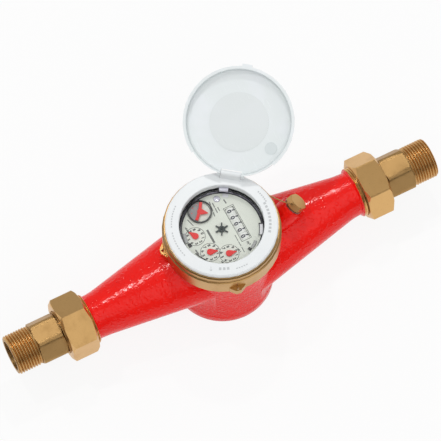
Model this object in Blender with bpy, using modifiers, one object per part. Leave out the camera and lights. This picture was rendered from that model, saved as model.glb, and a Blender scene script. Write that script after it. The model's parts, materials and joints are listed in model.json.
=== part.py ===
# A multi-jet water meter with a dry register, a hinged lid and a union at each end.
# Metres, +Z up. The foot stands at z = 0 and the pipe line runs along X, inlet at +X.

import math

import bmesh
import bpy
from mathutils import Euler, Matrix, Vector

# Gap between touching pieces, and how far a cutter runs past what it cuts
GAP = 0.0003
OVERCUT = 0.001

# Edge breaks, from the coarse castings to the small mouldings
CASTING_EDGE = 0.0008
FOOT_EDGE = 0.0025
SMALL_EDGE = 0.0006
FINE_EDGE = 0.0005

# Facets of a full turn, by the size of what is turned
LARGE_FACETS = 36
INNER_FACETS = LARGE_FACETS
CHAMBER_FACETS = 20
PIPE_FACETS = 20
SMALL_FACETS = 14
HOLE_FACETS = 8
ARM_FACETS = 24

# Pipe line
PIPE_AXIS_Z = 0.040
BODY_HALF_LENGTH = 0.130
PIPE_BORE_RADIUS = 0.014
NECK_WALL = 0.0045
NECK_LENGTH = 0.018
BODY_THREAD_STEP = 0.00245
BODY_THREAD_LENGTH = 0.0105
NECK_RADIUS = PIPE_BORE_RADIUS + NECK_WALL
NECK_START = BODY_HALF_LENGTH - NECK_LENGTH
BODY_THREAD_RADIUS = NECK_RADIUS + BODY_THREAD_STEP
BODY_THREAD_START = BODY_HALF_LENGTH - BODY_THREAD_LENGTH

# Cup, outside and then inside
CUP_TOP_Z = 0.088
CUP_THREAD_RADIUS = 0.0436
CUP_THREAD_LENGTH = 0.015
CUP_THREAD_STEP = 0.0016
CUP_TAPER = 0.001
CUP_FOOT_STEP = 0.0006
CUP_FOOT_HEIGHT = 0.009
CUP_NECK_Z = CUP_TOP_Z - CUP_THREAD_LENGTH
CUP_HIGH_RADIUS = CUP_THREAD_RADIUS - CUP_THREAD_STEP
CUP_LOW_RADIUS = CUP_HIGH_RADIUS - CUP_TAPER
CUP_FOOT_RADIUS = CUP_LOW_RADIUS + CUP_FOOT_STEP
CUP_FLOOR = 0.005
CUP_FLOOR_FILLET = 0.003
CUP_RIM_WALL = 0.0051
PLATE_LEDGE_WIDTH = 0.002
PLATE_LEDGE_DEPTH = 0.019
CUP_MOUTH_RADIUS = CUP_THREAD_RADIUS - CUP_RIM_WALL
CUP_CAVITY_RADIUS = CUP_MOUTH_RADIUS - PLATE_LEDGE_WIDTH
PLATE_LEDGE_Z = CUP_TOP_Z - PLATE_LEDGE_DEPTH
CHAMBER_TOP_DEPTH = 0.009
CHAMBER_UPPER_HEIGHT = 0.017
CHAMBER_TOP_Z = PLATE_LEDGE_Z - CHAMBER_TOP_DEPTH
CHAMBER_LEDGE_Z = CHAMBER_TOP_Z - CHAMBER_UPPER_HEIGHT
CHAMBER_LEDGE_THICKNESS = 0.005
CHAMBER_LEDGE_WIDTH = 0.0075
CHAMBER_LEDGE_RADIUS = CUP_CAVITY_RADIUS - CHAMBER_LEDGE_WIDTH

# Arms where they meet the cup, and the water's way through them
ARM_WIDE_X = 0.040
ARM_BLEND = 0.006
ARM_INNER_X = 0.016
INLET_ARM_HALF_WIDTH = 0.0335
INLET_ARM_HALF_HEIGHT = 0.0245
INLET_ARM_DROP = 0.0065
OUTLET_ARM_HALF_WIDTH = 0.0315
OUTLET_ARM_HALF_HEIGHT = 0.024
OUTLET_ARM_RISE = 0.0095
PASSAGE_MOUTH_STEP = 0.0015
PASSAGE_REACH = 0.010
PASSAGE_HALF_WIDTH = 0.020
PASSAGE_HALF_HEIGHT = 0.010
PASSAGE_OFFSET = 0.0155
PASSAGE_MOUTH_X = CUP_CAVITY_RADIUS + PASSAGE_MOUTH_STEP

# Regulator boss on the inlet arm, leaning 45 degrees
BOSS_LEAN = math.radians(45)
BOSS_STAND_OFF = 0.0217
BOSS_RISE = 0.030
BOSS_RADIUS = 0.010
BOSS_FLARE = 0.0008
BOSS_LENGTH = 0.026
BOSS_THREAD_RADIUS = 0.0063
BOSS_THREAD_DEPTH = 0.009
BOSS_BORE_RADIUS = 0.0042
BOSS_BORE_DEPTH = 0.024
BOSS_END_X = CUP_HIGH_RADIUS + BOSS_STAND_OFF
BOSS_END_Z = PIPE_AXIS_Z + BOSS_RISE
BYPASS_RADIUS = 0.0025
PLUG_ACROSS_FLATS = 0.014
PLUG_HEIGHT = 0.006
PLUG_TURN = math.radians(40)
PLUG_HOLE_RADIUS = 0.0009
PLUG_HOLE_HEIGHT = 0.0039
PLUG_HOLE_AZIMUTH = math.radians(190)
WASHER_THICKNESS = 0.0008
WASHER_RADIUS = 0.0079
SCREW_LENGTH = 0.012
SCREW_SLOT_WIDTH = 0.0012
SCREW_SLOT_DEPTH = 0.0015

# Head ring
HEAD_WALL = 0.0036
HEAD_TOP_STEP = 0.0009
HEAD_STEP_HEIGHT = 0.006
HEAD_RISE = 0.010
HEAD_SKIRT = 0.012
HEAD_LIP_THICKNESS = 0.004
HEAD_LIP_WIDTH = 0.0034
HEAD_THREAD_RADIUS = CUP_THREAD_RADIUS + GAP
HEAD_RADIUS = HEAD_THREAD_RADIUS + HEAD_WALL
HEAD_TOP_RADIUS = HEAD_RADIUS - HEAD_TOP_STEP
HEAD_LIP_RADIUS = HEAD_THREAD_RADIUS - HEAD_LIP_WIDTH
HEAD_TOP_Z = CUP_TOP_Z + HEAD_RISE
HEAD_STEP_Z = HEAD_TOP_Z - HEAD_STEP_HEIGHT
HEAD_BOTTOM_Z = CUP_TOP_Z - HEAD_SKIRT
LIP_Z = HEAD_TOP_Z - HEAD_LIP_THICKNESS
LUG_AZIMUTH = math.radians(82)
LUG_SPACING = math.radians(88)
LUG_COUNT = 3
LUG_LENGTH = 0.0035
LUG_ROOT = 0.0015
LUG_LIFT = 0.001
LUG_HEIGHT = 0.006
LUG_WIDTH = 0.013
LUG_TIP_WIDTH = 0.004
LUG_HOLE_RADIUS = 0.0011
LUG_HOLE_REACH = 0.0017
LUG_REACH = HEAD_RADIUS + LUG_LENGTH
LUG_HOLE_PLACE = HEAD_RADIUS + LUG_HOLE_REACH
LUG_BOTTOM_Z = HEAD_BOTTOM_Z + LUG_LIFT

# Wet side
GASKET_THICKNESS = 0.0017
PLATE_THICKNESS = 0.0024
PLATE_WALL_STEP = 0.003
PLATE_FLANGE_MARGIN = 0.0004
PLATE_FLANGE_THICKNESS = 0.0008
PLATE_WALL_RADIUS = CUP_MOUTH_RADIUS - PLATE_WALL_STEP
PLATE_FLANGE_RADIUS = CUP_THREAD_RADIUS - PLATE_FLANGE_MARGIN
CHAMBER_CLEARANCE = 0.0004
CHAMBER_RADIUS = CHAMBER_LEDGE_RADIUS - CHAMBER_CLEARANCE
CHAMBER_WALL = 0.0022
CHAMBER_FLOOR = 0.0025
CHAMBER_LIFT = 0.003
CHAMBER_BOTTOM_Z = CUP_FLOOR + CHAMBER_LIFT
CHAMBER_FLANGE_CLEARANCE = 0.0015
CHAMBER_FLANGE_RADIUS = CUP_CAVITY_RADIUS - CHAMBER_FLANGE_CLEARANCE
CHAMBER_FLANGE_THICKNESS = 0.003
CHAMBER_SLOTS = 10
JET_LENGTH = 0.012
JET_WIDTH = 0.0026
JET_LIFT = 0.006
JET_BOTTOM_Z = CHAMBER_BOTTOM_Z + JET_LIFT
JET_HEIGHT = 0.016
JET_SLANT = math.radians(38)
OUTLET_SLOT_LENGTH = 0.008
OUTLET_SLOT_WIDTH = 0.005
OUTLET_SLOT_HEIGHT = 0.0085
OUTLET_SLOT_LIFT = 0.0016
CHAMBER_COVER_THICKNESS = 0.0027
CHAMBER_COVER_RING = 0.003
TURBINE_TIP_CLEARANCE = 0.0024
TURBINE_RADIUS = CHAMBER_RADIUS - CHAMBER_WALL - TURBINE_TIP_CLEARANCE
TURBINE_HUB_RADIUS = 0.0045
TURBINE_HUB_TAPER = 0.002
TURBINE_BLADES = 8
TURBINE_BLADE_THICKNESS = 0.0012
TURBINE_BLADE_MARGIN = 0.0005
TURBINE_LIFT = 0.012
TURBINE_BOTTOM_Z = CHAMBER_BOTTOM_Z + TURBINE_LIFT
TURBINE_HEIGHT = 0.018
TURBINE_STEM_RADIUS = 0.0015
MAGNET_RADIUS = 0.007
MAGNET_THICKNESS = 0.005
PIVOT_RADIUS = 0.0012
PIVOT_HEAD_RADIUS = 0.003
PIVOT_HEAD_THICKNESS = 0.0022
PIVOT_REACH = 0.004

# Register
REGISTER_FLOOR_THICKNESS = 0.0012
REGISTER_WALL = 0.0015
REGISTER_FLANGE_MARGIN = 0.0002
REGISTER_FLANGE_RADIUS = CUP_THREAD_RADIUS - REGISTER_FLANGE_MARGIN
REGISTER_FLANGE_THICKNESS = 0.003
REGISTER_RIM_WALL = 0.0028
REGISTER_RIM_RADIUS = HEAD_LIP_RADIUS - GAP
REGISTER_RIM_INNER_RADIUS = REGISTER_RIM_RADIUS - REGISTER_RIM_WALL
SLIP_RING_THICKNESS = 0.0008
FOLLOWER_RADIUS = 0.0065
FOLLOWER_THICKNESS = 0.0026
MOVEMENT_THICKNESS = 0.0012
MOVEMENT_LEDGE = 0.0018
DIAL_LEDGE_THICKNESS = 0.0008
DIAL_THICKNESS = 0.0006
BEZEL_WIDTH = 0.0029
BEZEL_INNER_RADIUS = REGISTER_RIM_INNER_RADIUS - GAP - BEZEL_WIDTH
BEZEL_THICKNESS = 0.0018
WINDOW_THICKNESS = 0.0025
SPINDLE_RADIUS = 0.0006
SPINDLE_HOLE_RADIUS = 0.001
STAR_RADIUS = 0.0056
STAR_ROOT_RADIUS = 0.0019
STAR_ARM_WIDTH = 0.0014
STAR_TIP_WIDTH = 0.0020
STAR_ARMS = 6
STAR_THICKNESS = 0.0011
POINTER_THICKNESS = 0.0008
POINTER_LIFT = 0.0005
WELL_RADIUS = 0.0098
WELL_WALL = 0.0008
WELL_MARGIN = 0.0015
WELL_AZIMUTH = math.radians(112)
BIG_POINTER_PLACE = BEZEL_INNER_RADIUS - WELL_RADIUS - WELL_MARGIN
BIG_POINTER_X = BIG_POINTER_PLACE * math.cos(WELL_AZIMUTH)
BIG_POINTER_Y = BIG_POINTER_PLACE * math.sin(WELL_AZIMUTH)
BIG_POINTER_RADIUS = 0.0070
BIG_POINTER_HUB = 0.0022
BIG_POINTER_HEAD_WIDTH = 0.0042
BIG_POINTER_ARM_LENGTH = 0.008
BIG_POINTER_ARM_WIDTH = 0.0024
BIG_POINTER_ARM_SPREAD = math.radians(97)
DISC_RADIUS = 0.0084
DISC_THICKNESS = 0.0004
SMALL_POINTER_RADIUS = 0.0065
SMALL_POINTER_HUB = 0.0026
SMALL_POINTER_MARGIN = 0.0125
SMALL_POINTER_AZIMUTHS = (math.radians(169), math.radians(218), math.radians(258.4))
POINTER_TURNS = (math.radians(-39), math.radians(119), math.radians(-18), math.radians(-12))
DRUM_RADIUS = 0.0062
DRUM_WIDTH = 0.0055
DRUM_PITCH = 0.0060
DRUM_COUNT = 5
DRUM_ROW_X = 0.0136
DRUM_ROW_Y = -0.0007
DRUM_SINK = 0.0006
DRUM_SHAFT_RADIUS = 0.0008
DRUM_SLOT_WIDTH = 0.0073
DRUM_CLEARANCE = 0.0006
BEARING_THICKNESS = 0.0015

# Cover ring, its hinge and the lid
COVER_RISE = 0.004
COVER_MARGIN = 0.0016
COVER_THICKNESS = 0.0025
COVER_EDGE = 0.0009
COVER_SKIRT_WALL = 0.0018
COVER_EYE_STEP = 0.0003
COVER_TOP_Z = HEAD_TOP_Z + COVER_RISE
COVER_UNDER_Z = HEAD_TOP_Z + GAP
COVER_RADIUS = HEAD_TOP_RADIUS - COVER_MARGIN
COVER_EYE_RADIUS = BEZEL_INNER_RADIUS - COVER_EYE_STEP
HINGE_AZIMUTH = math.radians(52.7)
HINGE_INSET = 0.0032
HINGE_HEIGHT = 0.0046
HINGE_BLOCK_WIDTH = 0.016
HINGE_BLOCK_FOOT = 0.006
HINGE_BLOCK_SINK = 0.001
HINGE_KNUCKLE_RADIUS = 0.0024
HINGE_PIN_RADIUS = 0.0009
HINGE_PLACE = COVER_RADIUS - HINGE_INSET
HINGE_HOLE_RADIUS = HINGE_PIN_RADIUS + GAP
LID_OPEN = math.radians(155)
LID_MARGIN = 0.0016
LID_WALL = 0.0015
LID_HEIGHT = 0.007
LID_EDGE = 0.0012
LID_FILLET = 0.0034
LID_SKIN = 0.0012
LID_LIFT = 0.0004
LID_FLANGE_WIDTH = 0.0011
LID_FLANGE_THICKNESS = 0.0012
LID_FLANGE_BREAK = math.radians(48)
LID_PAD_RADIUS = 0.0236
LID_PAD_THICKNESS = 0.0004
LID_MARK_RADIUS = 0.005
LID_MARK_PLACE = 0.0329
LID_MARK_AZIMUTH = math.radians(-59.2)
LID_NOTCH_BACK = 0.0032
LID_EAR_WIDTH = 0.0025
LID_TAB_WIDTH = 0.008
LID_TAB_REACH = 0.0016
LID_RADIUS = COVER_RADIUS - LID_MARGIN
LID_FLANGE_RADIUS = LID_RADIUS + LID_FLANGE_WIDTH
HINGE_PIN_LENGTH = HINGE_BLOCK_WIDTH + 2 * (GAP + LID_EAR_WIDTH)

# Unions: each nut's lip holds its tail's collar, with a gasket between collar and body
UNION_GASKET_THICKNESS = 0.002
TAIL_COLLAR_THICKNESS = 0.006
NUT_LIP_THICKNESS = 0.0056
NUT_LENGTH = 0.0217
OUTLET_NUT_EXTRA = 0.0014
NUT_WALL = 0.00225
NUT_EDGE = 0.0022
NUT_TURNS = {"inlet": math.radians(72), "outlet": math.radians(89)}
TAIL_HEX_CLEARANCE = 0.001
TAIL_HEX_LENGTH = 0.0225
TAIL_HEX_EDGE = 0.001
TAIL_THREAD_LENGTH = 0.021
TAIL_THREAD_EDGE = 0.0012
TAIL_COLLAR_CLEARANCE = 0.00065
TAIL_NECK_CLEARANCE = 0.0004
TAIL_ACROSS_FLATS = 0.032
TAIL_BORE_RADIUS = 0.0125
TAIL_THREAD_WALL = 0.0041
TAIL_NECK_WALL = 0.0058
GASKET_MARGIN = 0.0012
COLLAR_X = BODY_HALF_LENGTH + GAP + UNION_GASKET_THICKNESS + GAP
COLLAR_END = COLLAR_X + TAIL_COLLAR_THICKNESS
NUT_END = COLLAR_END + GAP + NUT_LIP_THICKNESS
NUT_THREAD_RADIUS = BODY_THREAD_RADIUS + GAP
NUT_ACROSS_FLATS = 2 * (NUT_THREAD_RADIUS + NUT_WALL)
TAIL_COLLAR_RADIUS = BODY_THREAD_RADIUS - TAIL_COLLAR_CLEARANCE
TAIL_THREAD_RADIUS = TAIL_BORE_RADIUS + TAIL_THREAD_WALL
TAIL_NECK_RADIUS = TAIL_BORE_RADIUS + TAIL_NECK_WALL
NUT_LIP_RADIUS = TAIL_NECK_RADIUS + TAIL_NECK_CLEARANCE
TAIL_HEX_START = NUT_END + TAIL_HEX_CLEARANCE
TAIL_HEX_END = TAIL_HEX_START + TAIL_HEX_LENGTH
TAIL_END = TAIL_HEX_END + TAIL_THREAD_LENGTH

# Inlet strainer, behind the union
STRAINER_SINK = 0.007
STRAINER_LENGTH = 0.016
STRAINER_GAP = 0.003
STRAINER_WALL = 0.0012
STRAINER_FLANGE = 0.002
STRAINER_SLOTS = 8
STRAINER_SLOT_WIDTH = 0.0035
STRAINER_SLOT_MARGIN = 0.0035
STRAINER_START = BODY_HALF_LENGTH - STRAINER_SINK
STRAINER_RADIUS = PIPE_BORE_RADIUS - STRAINER_GAP

# Sealing wire, from the plug round the back of the head ring to a lug
WIRE_RADIUS = 0.0005
WIRE_RISE = 0.011
WIRE_START_AZIMUTH = 12
WIRE_TAIL = 0.003

# Heights and radii that follow from the sizes above
PLATE_Z = PLATE_LEDGE_Z + GAP + GASKET_THICKNESS + GAP
PLATE_TOP_Z = PLATE_Z + PLATE_THICKNESS
PLATE_FLANGE_Z = CUP_TOP_Z + GAP
REGISTER_Z = PLATE_TOP_Z + GAP
REGISTER_FLANGE_Z = PLATE_FLANGE_Z + PLATE_FLANGE_THICKNESS + GAP
REGISTER_FLANGE_TOP_Z = REGISTER_FLANGE_Z + REGISTER_FLANGE_THICKNESS
REGISTER_RADIUS = PLATE_WALL_RADIUS - GAP
REGISTER_INNER_RADIUS = REGISTER_RADIUS - REGISTER_WALL
FOLLOWER_Z = REGISTER_Z + REGISTER_FLOOR_THICKNESS + GAP
MOVEMENT_Z = FOLLOWER_Z + FOLLOWER_THICKNESS + GAP
MOVEMENT_TOP_Z = MOVEMENT_Z + MOVEMENT_THICKNESS
DIAL_LEDGE_Z = REGISTER_FLANGE_Z + DIAL_LEDGE_THICKNESS
DIAL_Z = DIAL_LEDGE_Z + GAP
DIAL_TOP_Z = DIAL_Z + DIAL_THICKNESS
BEZEL_Z = DIAL_TOP_Z + GAP
WINDOW_Z = BEZEL_Z + BEZEL_THICKNESS + GAP
WINDOW_TOP_Z = WINDOW_Z + WINDOW_THICKNESS
DRUM_Z = DIAL_TOP_Z - DRUM_SINK - DRUM_RADIUS
PIN_Z = COVER_TOP_Z + HINGE_HEIGHT

# Colours
WHITE = (0.82, 0.85, 0.88)
RED = (0.62, 0.03, 0.035)
BRASS = (0.52, 0.38, 0.17)
STEEL = (0.55, 0.55, 0.56)
BLACK = (0.02, 0.02, 0.022)
CREAM = (0.75, 0.74, 0.70)

# The finish of each kind of surface: colour, roughness, metallic
FINISHES = {
    "red_paint": (RED, 0.35, 0.0),
    "brass": (BRASS, 0.38, 1.0),
    "steel": (STEEL, 0.35, 1.0),
    "white_plastic": (WHITE, 0.35, 0.0),
    "wet_plastic": (CREAM, 0.5, 0.0),
    "black_plastic": (BLACK, 0.45, 0.0),
    "dial_print": ((0.66, 0.70, 0.64), 0.6, 0.0),
    "clear": ((0.85, 0.90, 0.90), 0.05, 0.0),
    "pointer_red": ((0.75, 0.04, 0.04), 0.4, 0.0),
    "grey_print": ((0.45, 0.47, 0.48), 0.5, 0.0),
    "rubber": ((0.03, 0.03, 0.03), 0.8, 0.0),
    "magnet": ((0.12, 0.12, 0.13), 0.5, 0.3),
}


def clear_scene():
    for thing in list(bpy.data.objects):
        bpy.data.objects.remove(thing, do_unlink=True)


def new_collection(name, hidden=False):
    made = bpy.data.collections.new(name)
    made.hide_render = hidden
    bpy.context.scene.collection.children.link(made)
    return made


clear_scene()
METER = new_collection("water_meter")
CUTTERS = new_collection("cutters", hidden=True)


def place(name, data, cutter=False):
    made = bpy.data.objects.new(name, data)
    if cutter:
        CUTTERS.objects.link(made)
        made.hide_render = True
        made.display_type = "WIRE"
    else:
        METER.objects.link(made)
    return made


# Basic shapes


def from_bmesh(name, shape, cutter):
    made = place(name, bpy.data.meshes.new(name), cutter)
    shape.to_mesh(made.data)
    shape.free()
    return made


def cylinder(name, radius, bottom, top, at=(0.0, 0.0), segments=PIPE_FACETS, cutter=False):
    """An upright cylinder between two heights."""
    shape = bmesh.new()
    bmesh.ops.create_cone(
        shape, cap_ends=True, segments=segments, radius1=radius, radius2=radius, depth=top - bottom
    )
    bmesh.ops.translate(shape, vec=(at[0], at[1], (bottom + top) / 2), verts=shape.verts)
    return from_bmesh(name, shape, cutter)


def box(name, low, high, cutter=False):
    """A box between two corners."""
    shape = bmesh.new()
    bmesh.ops.create_cube(shape, size=1.0)
    bmesh.ops.scale(shape, vec=Vector(high) - Vector(low), verts=shape.verts)
    bmesh.ops.translate(shape, vec=(Vector(low) + Vector(high)) / 2, verts=shape.verts)
    return from_bmesh(name, shape, cutter)


def turned(name, profile, segments=LARGE_FACETS, cutter=False, closed=False):
    """A profile of (radius, height) points, down the outer side, turned about local Z."""
    mesh = bpy.data.meshes.new(name)
    edges = [(i, i + 1) for i in range(len(profile) - 1)]
    if closed:
        edges.append((len(profile) - 1, 0))
    mesh.from_pydata([(radius, 0.0, height) for radius, height in profile], edges, [])
    made = place(name, mesh, cutter)
    screw = made.modifiers.new("turned", "SCREW")
    screw.axis = "Z"
    screw.angle = 2 * math.pi
    screw.steps = segments
    screw.render_steps = segments
    screw.use_merge_vertices = True
    screw.merge_threshold = 0.00001
    return made


def extruded(name, outline, bottom, top, cutter=False):
    """A flat outline in local XY, given its thickness along local Z."""
    curve = bpy.data.curves.new(name, "CURVE")
    curve.dimensions = "2D"
    curve.fill_mode = "BOTH"
    curve.extrude = (top - bottom) / 2
    spline = curve.splines.new("POLY")
    spline.points.add(len(outline) - 1)
    for point, (x, y) in zip(spline.points, outline):
        point.co = (x, y, 0.0, 1.0)
    spline.use_cyclic_u = True
    return meshed(name, curve, (bottom + top) / 2, cutter)


def meshed(name, curve, height=0.0, cutter=False):
    """The mesh of a curve, with its loose caps welded on."""
    drawn = bpy.data.objects.new(name + "_curve", curve)
    bpy.context.scene.collection.objects.link(drawn)
    bpy.context.view_layer.update()
    graph = bpy.context.evaluated_depsgraph_get()
    mesh = bpy.data.meshes.new_from_object(drawn.evaluated_get(graph))
    shape = bmesh.new()
    shape.from_mesh(mesh)
    bmesh.ops.remove_doubles(shape, verts=shape.verts, dist=0.000001)
    bmesh.ops.translate(shape, vec=(0.0, 0.0, height), verts=shape.verts)
    bmesh.ops.recalc_face_normals(shape, faces=shape.faces)
    shape.to_mesh(mesh)
    shape.free()
    made = place(name, mesh, cutter)
    bpy.data.objects.remove(drawn)
    bpy.data.curves.remove(curve)
    return made


def lofted(name, rings, cutter=False):
    """A skin over rings of points, with the first and last ring capped."""
    shape = bmesh.new()
    rows = [[shape.verts.new(point) for point in ring] for ring in rings]
    count = len(rows[0])
    for low, high in zip(rows, rows[1:]):
        for i in range(count):
            j = (i + 1) % count
            shape.faces.new((low[i], low[j], high[j], high[i]))
    shape.faces.new(rows[0])
    shape.faces.new(rows[-1])
    bmesh.ops.triangulate(shape, faces=[face for face in shape.faces if len(face.verts) == 4])
    bmesh.ops.recalc_face_normals(shape, faces=shape.faces)
    return from_bmesh(name, shape, cutter)


def arc(radius, start, end, count, centre=(0.0, 0.0)):
    """Points along an arc, both ends included."""
    step = (end - start) / (count - 1)
    angles = [start + step * i for i in range(count)]
    return [(centre[0] + radius * math.cos(a), centre[1] + radius * math.sin(a)) for a in angles]


def combine(target, other, operation):
    modifier = target.modifiers.new(operation.lower(), "BOOLEAN")
    modifier.operation = operation
    modifier.object = other
    modifier.solver = "EXACT"


def cut(target, *others):
    for other in others:
        combine(target, other, "DIFFERENCE")


def join(target, *others):
    for other in others:
        combine(target, other, "UNION")


def turn_to_pipe(thing, side):
    """Lays a shape made along local Z on the pipe line, pointing out of one end."""
    thing.rotation_euler = (0.0, side * math.pi / 2, 0.0)
    thing.location = (0.0, 0.0, PIPE_AXIS_Z)


def chamfered_hex(name, across_flats, start, end, chamfer, cutter=False):
    """A hexagon bar along local Z whose corners are turned off at both ends."""
    corner = across_flats / math.sqrt(3)
    bar = cylinder(name, corner, start, end, segments=6, cutter=cutter)
    reach = corner + GAP
    low = across_flats / 2 - GAP
    envelope = turned(
        name + "_envelope",
        [
            (0.0, end + GAP),
            (low, end + GAP),
            (reach, end - chamfer),
            (reach, start + chamfer),
            (low, start - GAP),
            (0.0, start - GAP),
        ],
        segments=SMALL_FACETS,
        cutter=True,
    )
    combine(bar, envelope, "INTERSECT")
    return bar, envelope


# The body casting


def arm_share(x):
    """How far the arm has grown from the neck, 0, to its full size, 1, with a smooth start."""
    run = NECK_START - ARM_WIDE_X
    if x >= NECK_START + ARM_BLEND:
        return 0.0
    if x <= NECK_START - ARM_BLEND:
        return (NECK_START - x) / run
    return (NECK_START + ARM_BLEND - x) ** 2 / (4 * ARM_BLEND * run)


def arm_ring(x, side, half_width, half_height, offset):
    share = arm_share(x)
    a = NECK_RADIUS + (half_width - NECK_RADIUS) * share
    b = NECK_RADIUS + (half_height - NECK_RADIUS) * share
    ring = []
    for i in range(ARM_FACETS):
        angle = 2 * math.pi * i / ARM_FACETS
        ring.append((side * x, a * math.cos(angle), PIPE_AXIS_Z + offset * share + b * math.sin(angle)))
    return ring


def pipe_ring(x, side, radius, points=ARM_FACETS):
    angles = [2 * math.pi * i / points for i in range(points)]
    return [(side * x, radius * math.cos(a), PIPE_AXIS_Z + radius * math.sin(a)) for a in angles]


def make_arm(name, side, half_width, half_height, offset):
    stations = [ARM_INNER_X, 0.5 * (ARM_INNER_X + NECK_START)]
    stations += [NECK_START + ARM_BLEND * share for share in (-1.0, -0.33, 0.33)]
    rings = [arm_ring(x, side, half_width, half_height, offset) for x in stations]
    step = BODY_THREAD_STEP
    rings.append(pipe_ring(BODY_THREAD_START - step, side, NECK_RADIUS))
    rings.append(pipe_ring(BODY_THREAD_START - 0.35 * step, side, NECK_RADIUS + 0.3 * step))
    rings.append(pipe_ring(BODY_THREAD_START, side, BODY_THREAD_RADIUS))
    rings.append(pipe_ring(BODY_HALF_LENGTH - CASTING_EDGE, side, BODY_THREAD_RADIUS))
    rings.append(pipe_ring(BODY_HALF_LENGTH, side, BODY_THREAD_RADIUS - CASTING_EDGE))
    return lofted(name, rings, cutter=True)


def make_passage(name, side, offset):
    """The water's way from the union into the cup, round outside and flat inside."""
    rings = []
    for x, share in ((PASSAGE_MOUTH_X - PASSAGE_REACH, 1.0), (PASSAGE_MOUTH_X, 1.0), (NECK_START, 0.0)):
        a = PIPE_BORE_RADIUS + (PASSAGE_HALF_WIDTH - PIPE_BORE_RADIUS) * share
        b = PIPE_BORE_RADIUS + (PASSAGE_HALF_HEIGHT - PIPE_BORE_RADIUS) * share
        ring = []
        for i in range(PIPE_FACETS):
            angle = 2 * math.pi * i / PIPE_FACETS
            z = PIPE_AXIS_Z + offset * share + b * math.sin(angle)
            ring.append((side * x, a * math.cos(angle), z))
        rings.append(ring)
    rings.append(pipe_ring(BODY_HALF_LENGTH + OVERCUT, side, PIPE_BORE_RADIUS, PIPE_FACETS))
    return lofted(name, rings, cutter=True)


def boss_frame(*things):
    """Moves shapes made along local Z so that their origin is the boss's end face."""
    for thing in things:
        thing.rotation_euler = (0.0, BOSS_LEAN, 0.0)
        thing.location = (BOSS_END_X, 0.0, BOSS_END_Z)


def make_body():
    body = turned(
        "meter_body",
        [
            (0.0, CUP_TOP_Z),
            (CUP_THREAD_RADIUS - CASTING_EDGE, CUP_TOP_Z),
            (CUP_THREAD_RADIUS, CUP_TOP_Z - CASTING_EDGE),
            (CUP_THREAD_RADIUS, CUP_NECK_Z + CUP_THREAD_STEP),
            (CUP_HIGH_RADIUS, CUP_NECK_Z),
            (CUP_LOW_RADIUS, CUP_FOOT_HEIGHT + 2 * CUP_FOOT_STEP),
            (CUP_FOOT_RADIUS, CUP_FOOT_HEIGHT),
            (CUP_FOOT_RADIUS, FOOT_EDGE),
            (CUP_FOOT_RADIUS - FOOT_EDGE, 0.0),
            (0.0, 0.0),
        ],
        segments=LARGE_FACETS,
    )
    inlet_arm = make_arm("inlet_arm", 1, INLET_ARM_HALF_WIDTH, INLET_ARM_HALF_HEIGHT, -INLET_ARM_DROP)
    outlet_arm = make_arm("outlet_arm", -1, OUTLET_ARM_HALF_WIDTH, OUTLET_ARM_HALF_HEIGHT, OUTLET_ARM_RISE)
    boss = turned(
        "regulator_boss",
        [
            (0.0, 0.0),
            (BOSS_RADIUS - SMALL_EDGE, 0.0),
            (BOSS_RADIUS, -SMALL_EDGE),
            (BOSS_RADIUS + BOSS_FLARE, -BOSS_LENGTH),
            (0.0, -BOSS_LENGTH),
        ],
        segments=PIPE_FACETS,
        cutter=True,
    )
    boss_frame(boss)
    cavity = turned(
        "cup_cavity",
        [
            (0.0, CUP_TOP_Z + OVERCUT),
            (CUP_MOUTH_RADIUS, CUP_TOP_Z + OVERCUT),
            (CUP_MOUTH_RADIUS, PLATE_LEDGE_Z),
            (CUP_CAVITY_RADIUS, PLATE_LEDGE_Z),
            (CUP_CAVITY_RADIUS, CHAMBER_LEDGE_Z),
            (CHAMBER_LEDGE_RADIUS, CHAMBER_LEDGE_Z),
            (CHAMBER_LEDGE_RADIUS, CHAMBER_LEDGE_Z - CHAMBER_LEDGE_THICKNESS),
            (CUP_CAVITY_RADIUS, CHAMBER_LEDGE_Z - CHAMBER_LEDGE_THICKNESS),
            (CUP_CAVITY_RADIUS, CUP_FLOOR + CUP_FLOOR_FILLET),
            (CUP_CAVITY_RADIUS - CUP_FLOOR_FILLET, CUP_FLOOR),
            (0.0, CUP_FLOOR),
        ],
        segments=INNER_FACETS,
        cutter=True,
    )
    join(body, inlet_arm, outlet_arm, boss)
    cut(
        body,
        cavity,
        make_passage("inlet_passage", 1, -PASSAGE_OFFSET),
        make_passage("outlet_passage", -1, PASSAGE_OFFSET),
    )
    bore = turned(
        "boss_bore",
        [
            (0.0, OVERCUT),
            (BOSS_THREAD_RADIUS, OVERCUT),
            (BOSS_THREAD_RADIUS, -BOSS_THREAD_DEPTH),
            (BOSS_BORE_RADIUS, -BOSS_THREAD_DEPTH),
            (BOSS_BORE_RADIUS, -BOSS_BORE_DEPTH),
            (0.0, -BOSS_BORE_DEPTH),
        ],
        segments=SMALL_FACETS,
        cutter=True,
    )
    boss_frame(bore)
    seat_x = BOSS_END_X - BOSS_BORE_DEPTH * math.sin(BOSS_LEAN)
    seat_z = BOSS_END_Z - BOSS_BORE_DEPTH * math.cos(BOSS_LEAN)
    down = cylinder(
        "bypass_down",
        BYPASS_RADIUS,
        PIPE_AXIS_Z - PASSAGE_OFFSET,
        seat_z,
        at=(seat_x, 0.0),
        segments=HOLE_FACETS,
        cutter=True,
    )
    run = seat_x - CUP_CAVITY_RADIUS + 2 * OVERCUT
    across = cylinder("bypass_across", BYPASS_RADIUS, 0.0, run, segments=HOLE_FACETS, cutter=True)
    across.rotation_euler = (0.0, -math.pi / 2, 0.0)
    across.location = (seat_x, 0.0, seat_z)
    cut(body, bore, down, across)
    return body


def in_plug(point):
    """A point of the plug's own frame, whose origin is the boss's end face, in the world."""
    return Vector((BOSS_END_X, 0.0, BOSS_END_Z)) + Euler((0.0, BOSS_LEAN, 0.0)).to_matrix() @ Vector(point)


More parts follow.
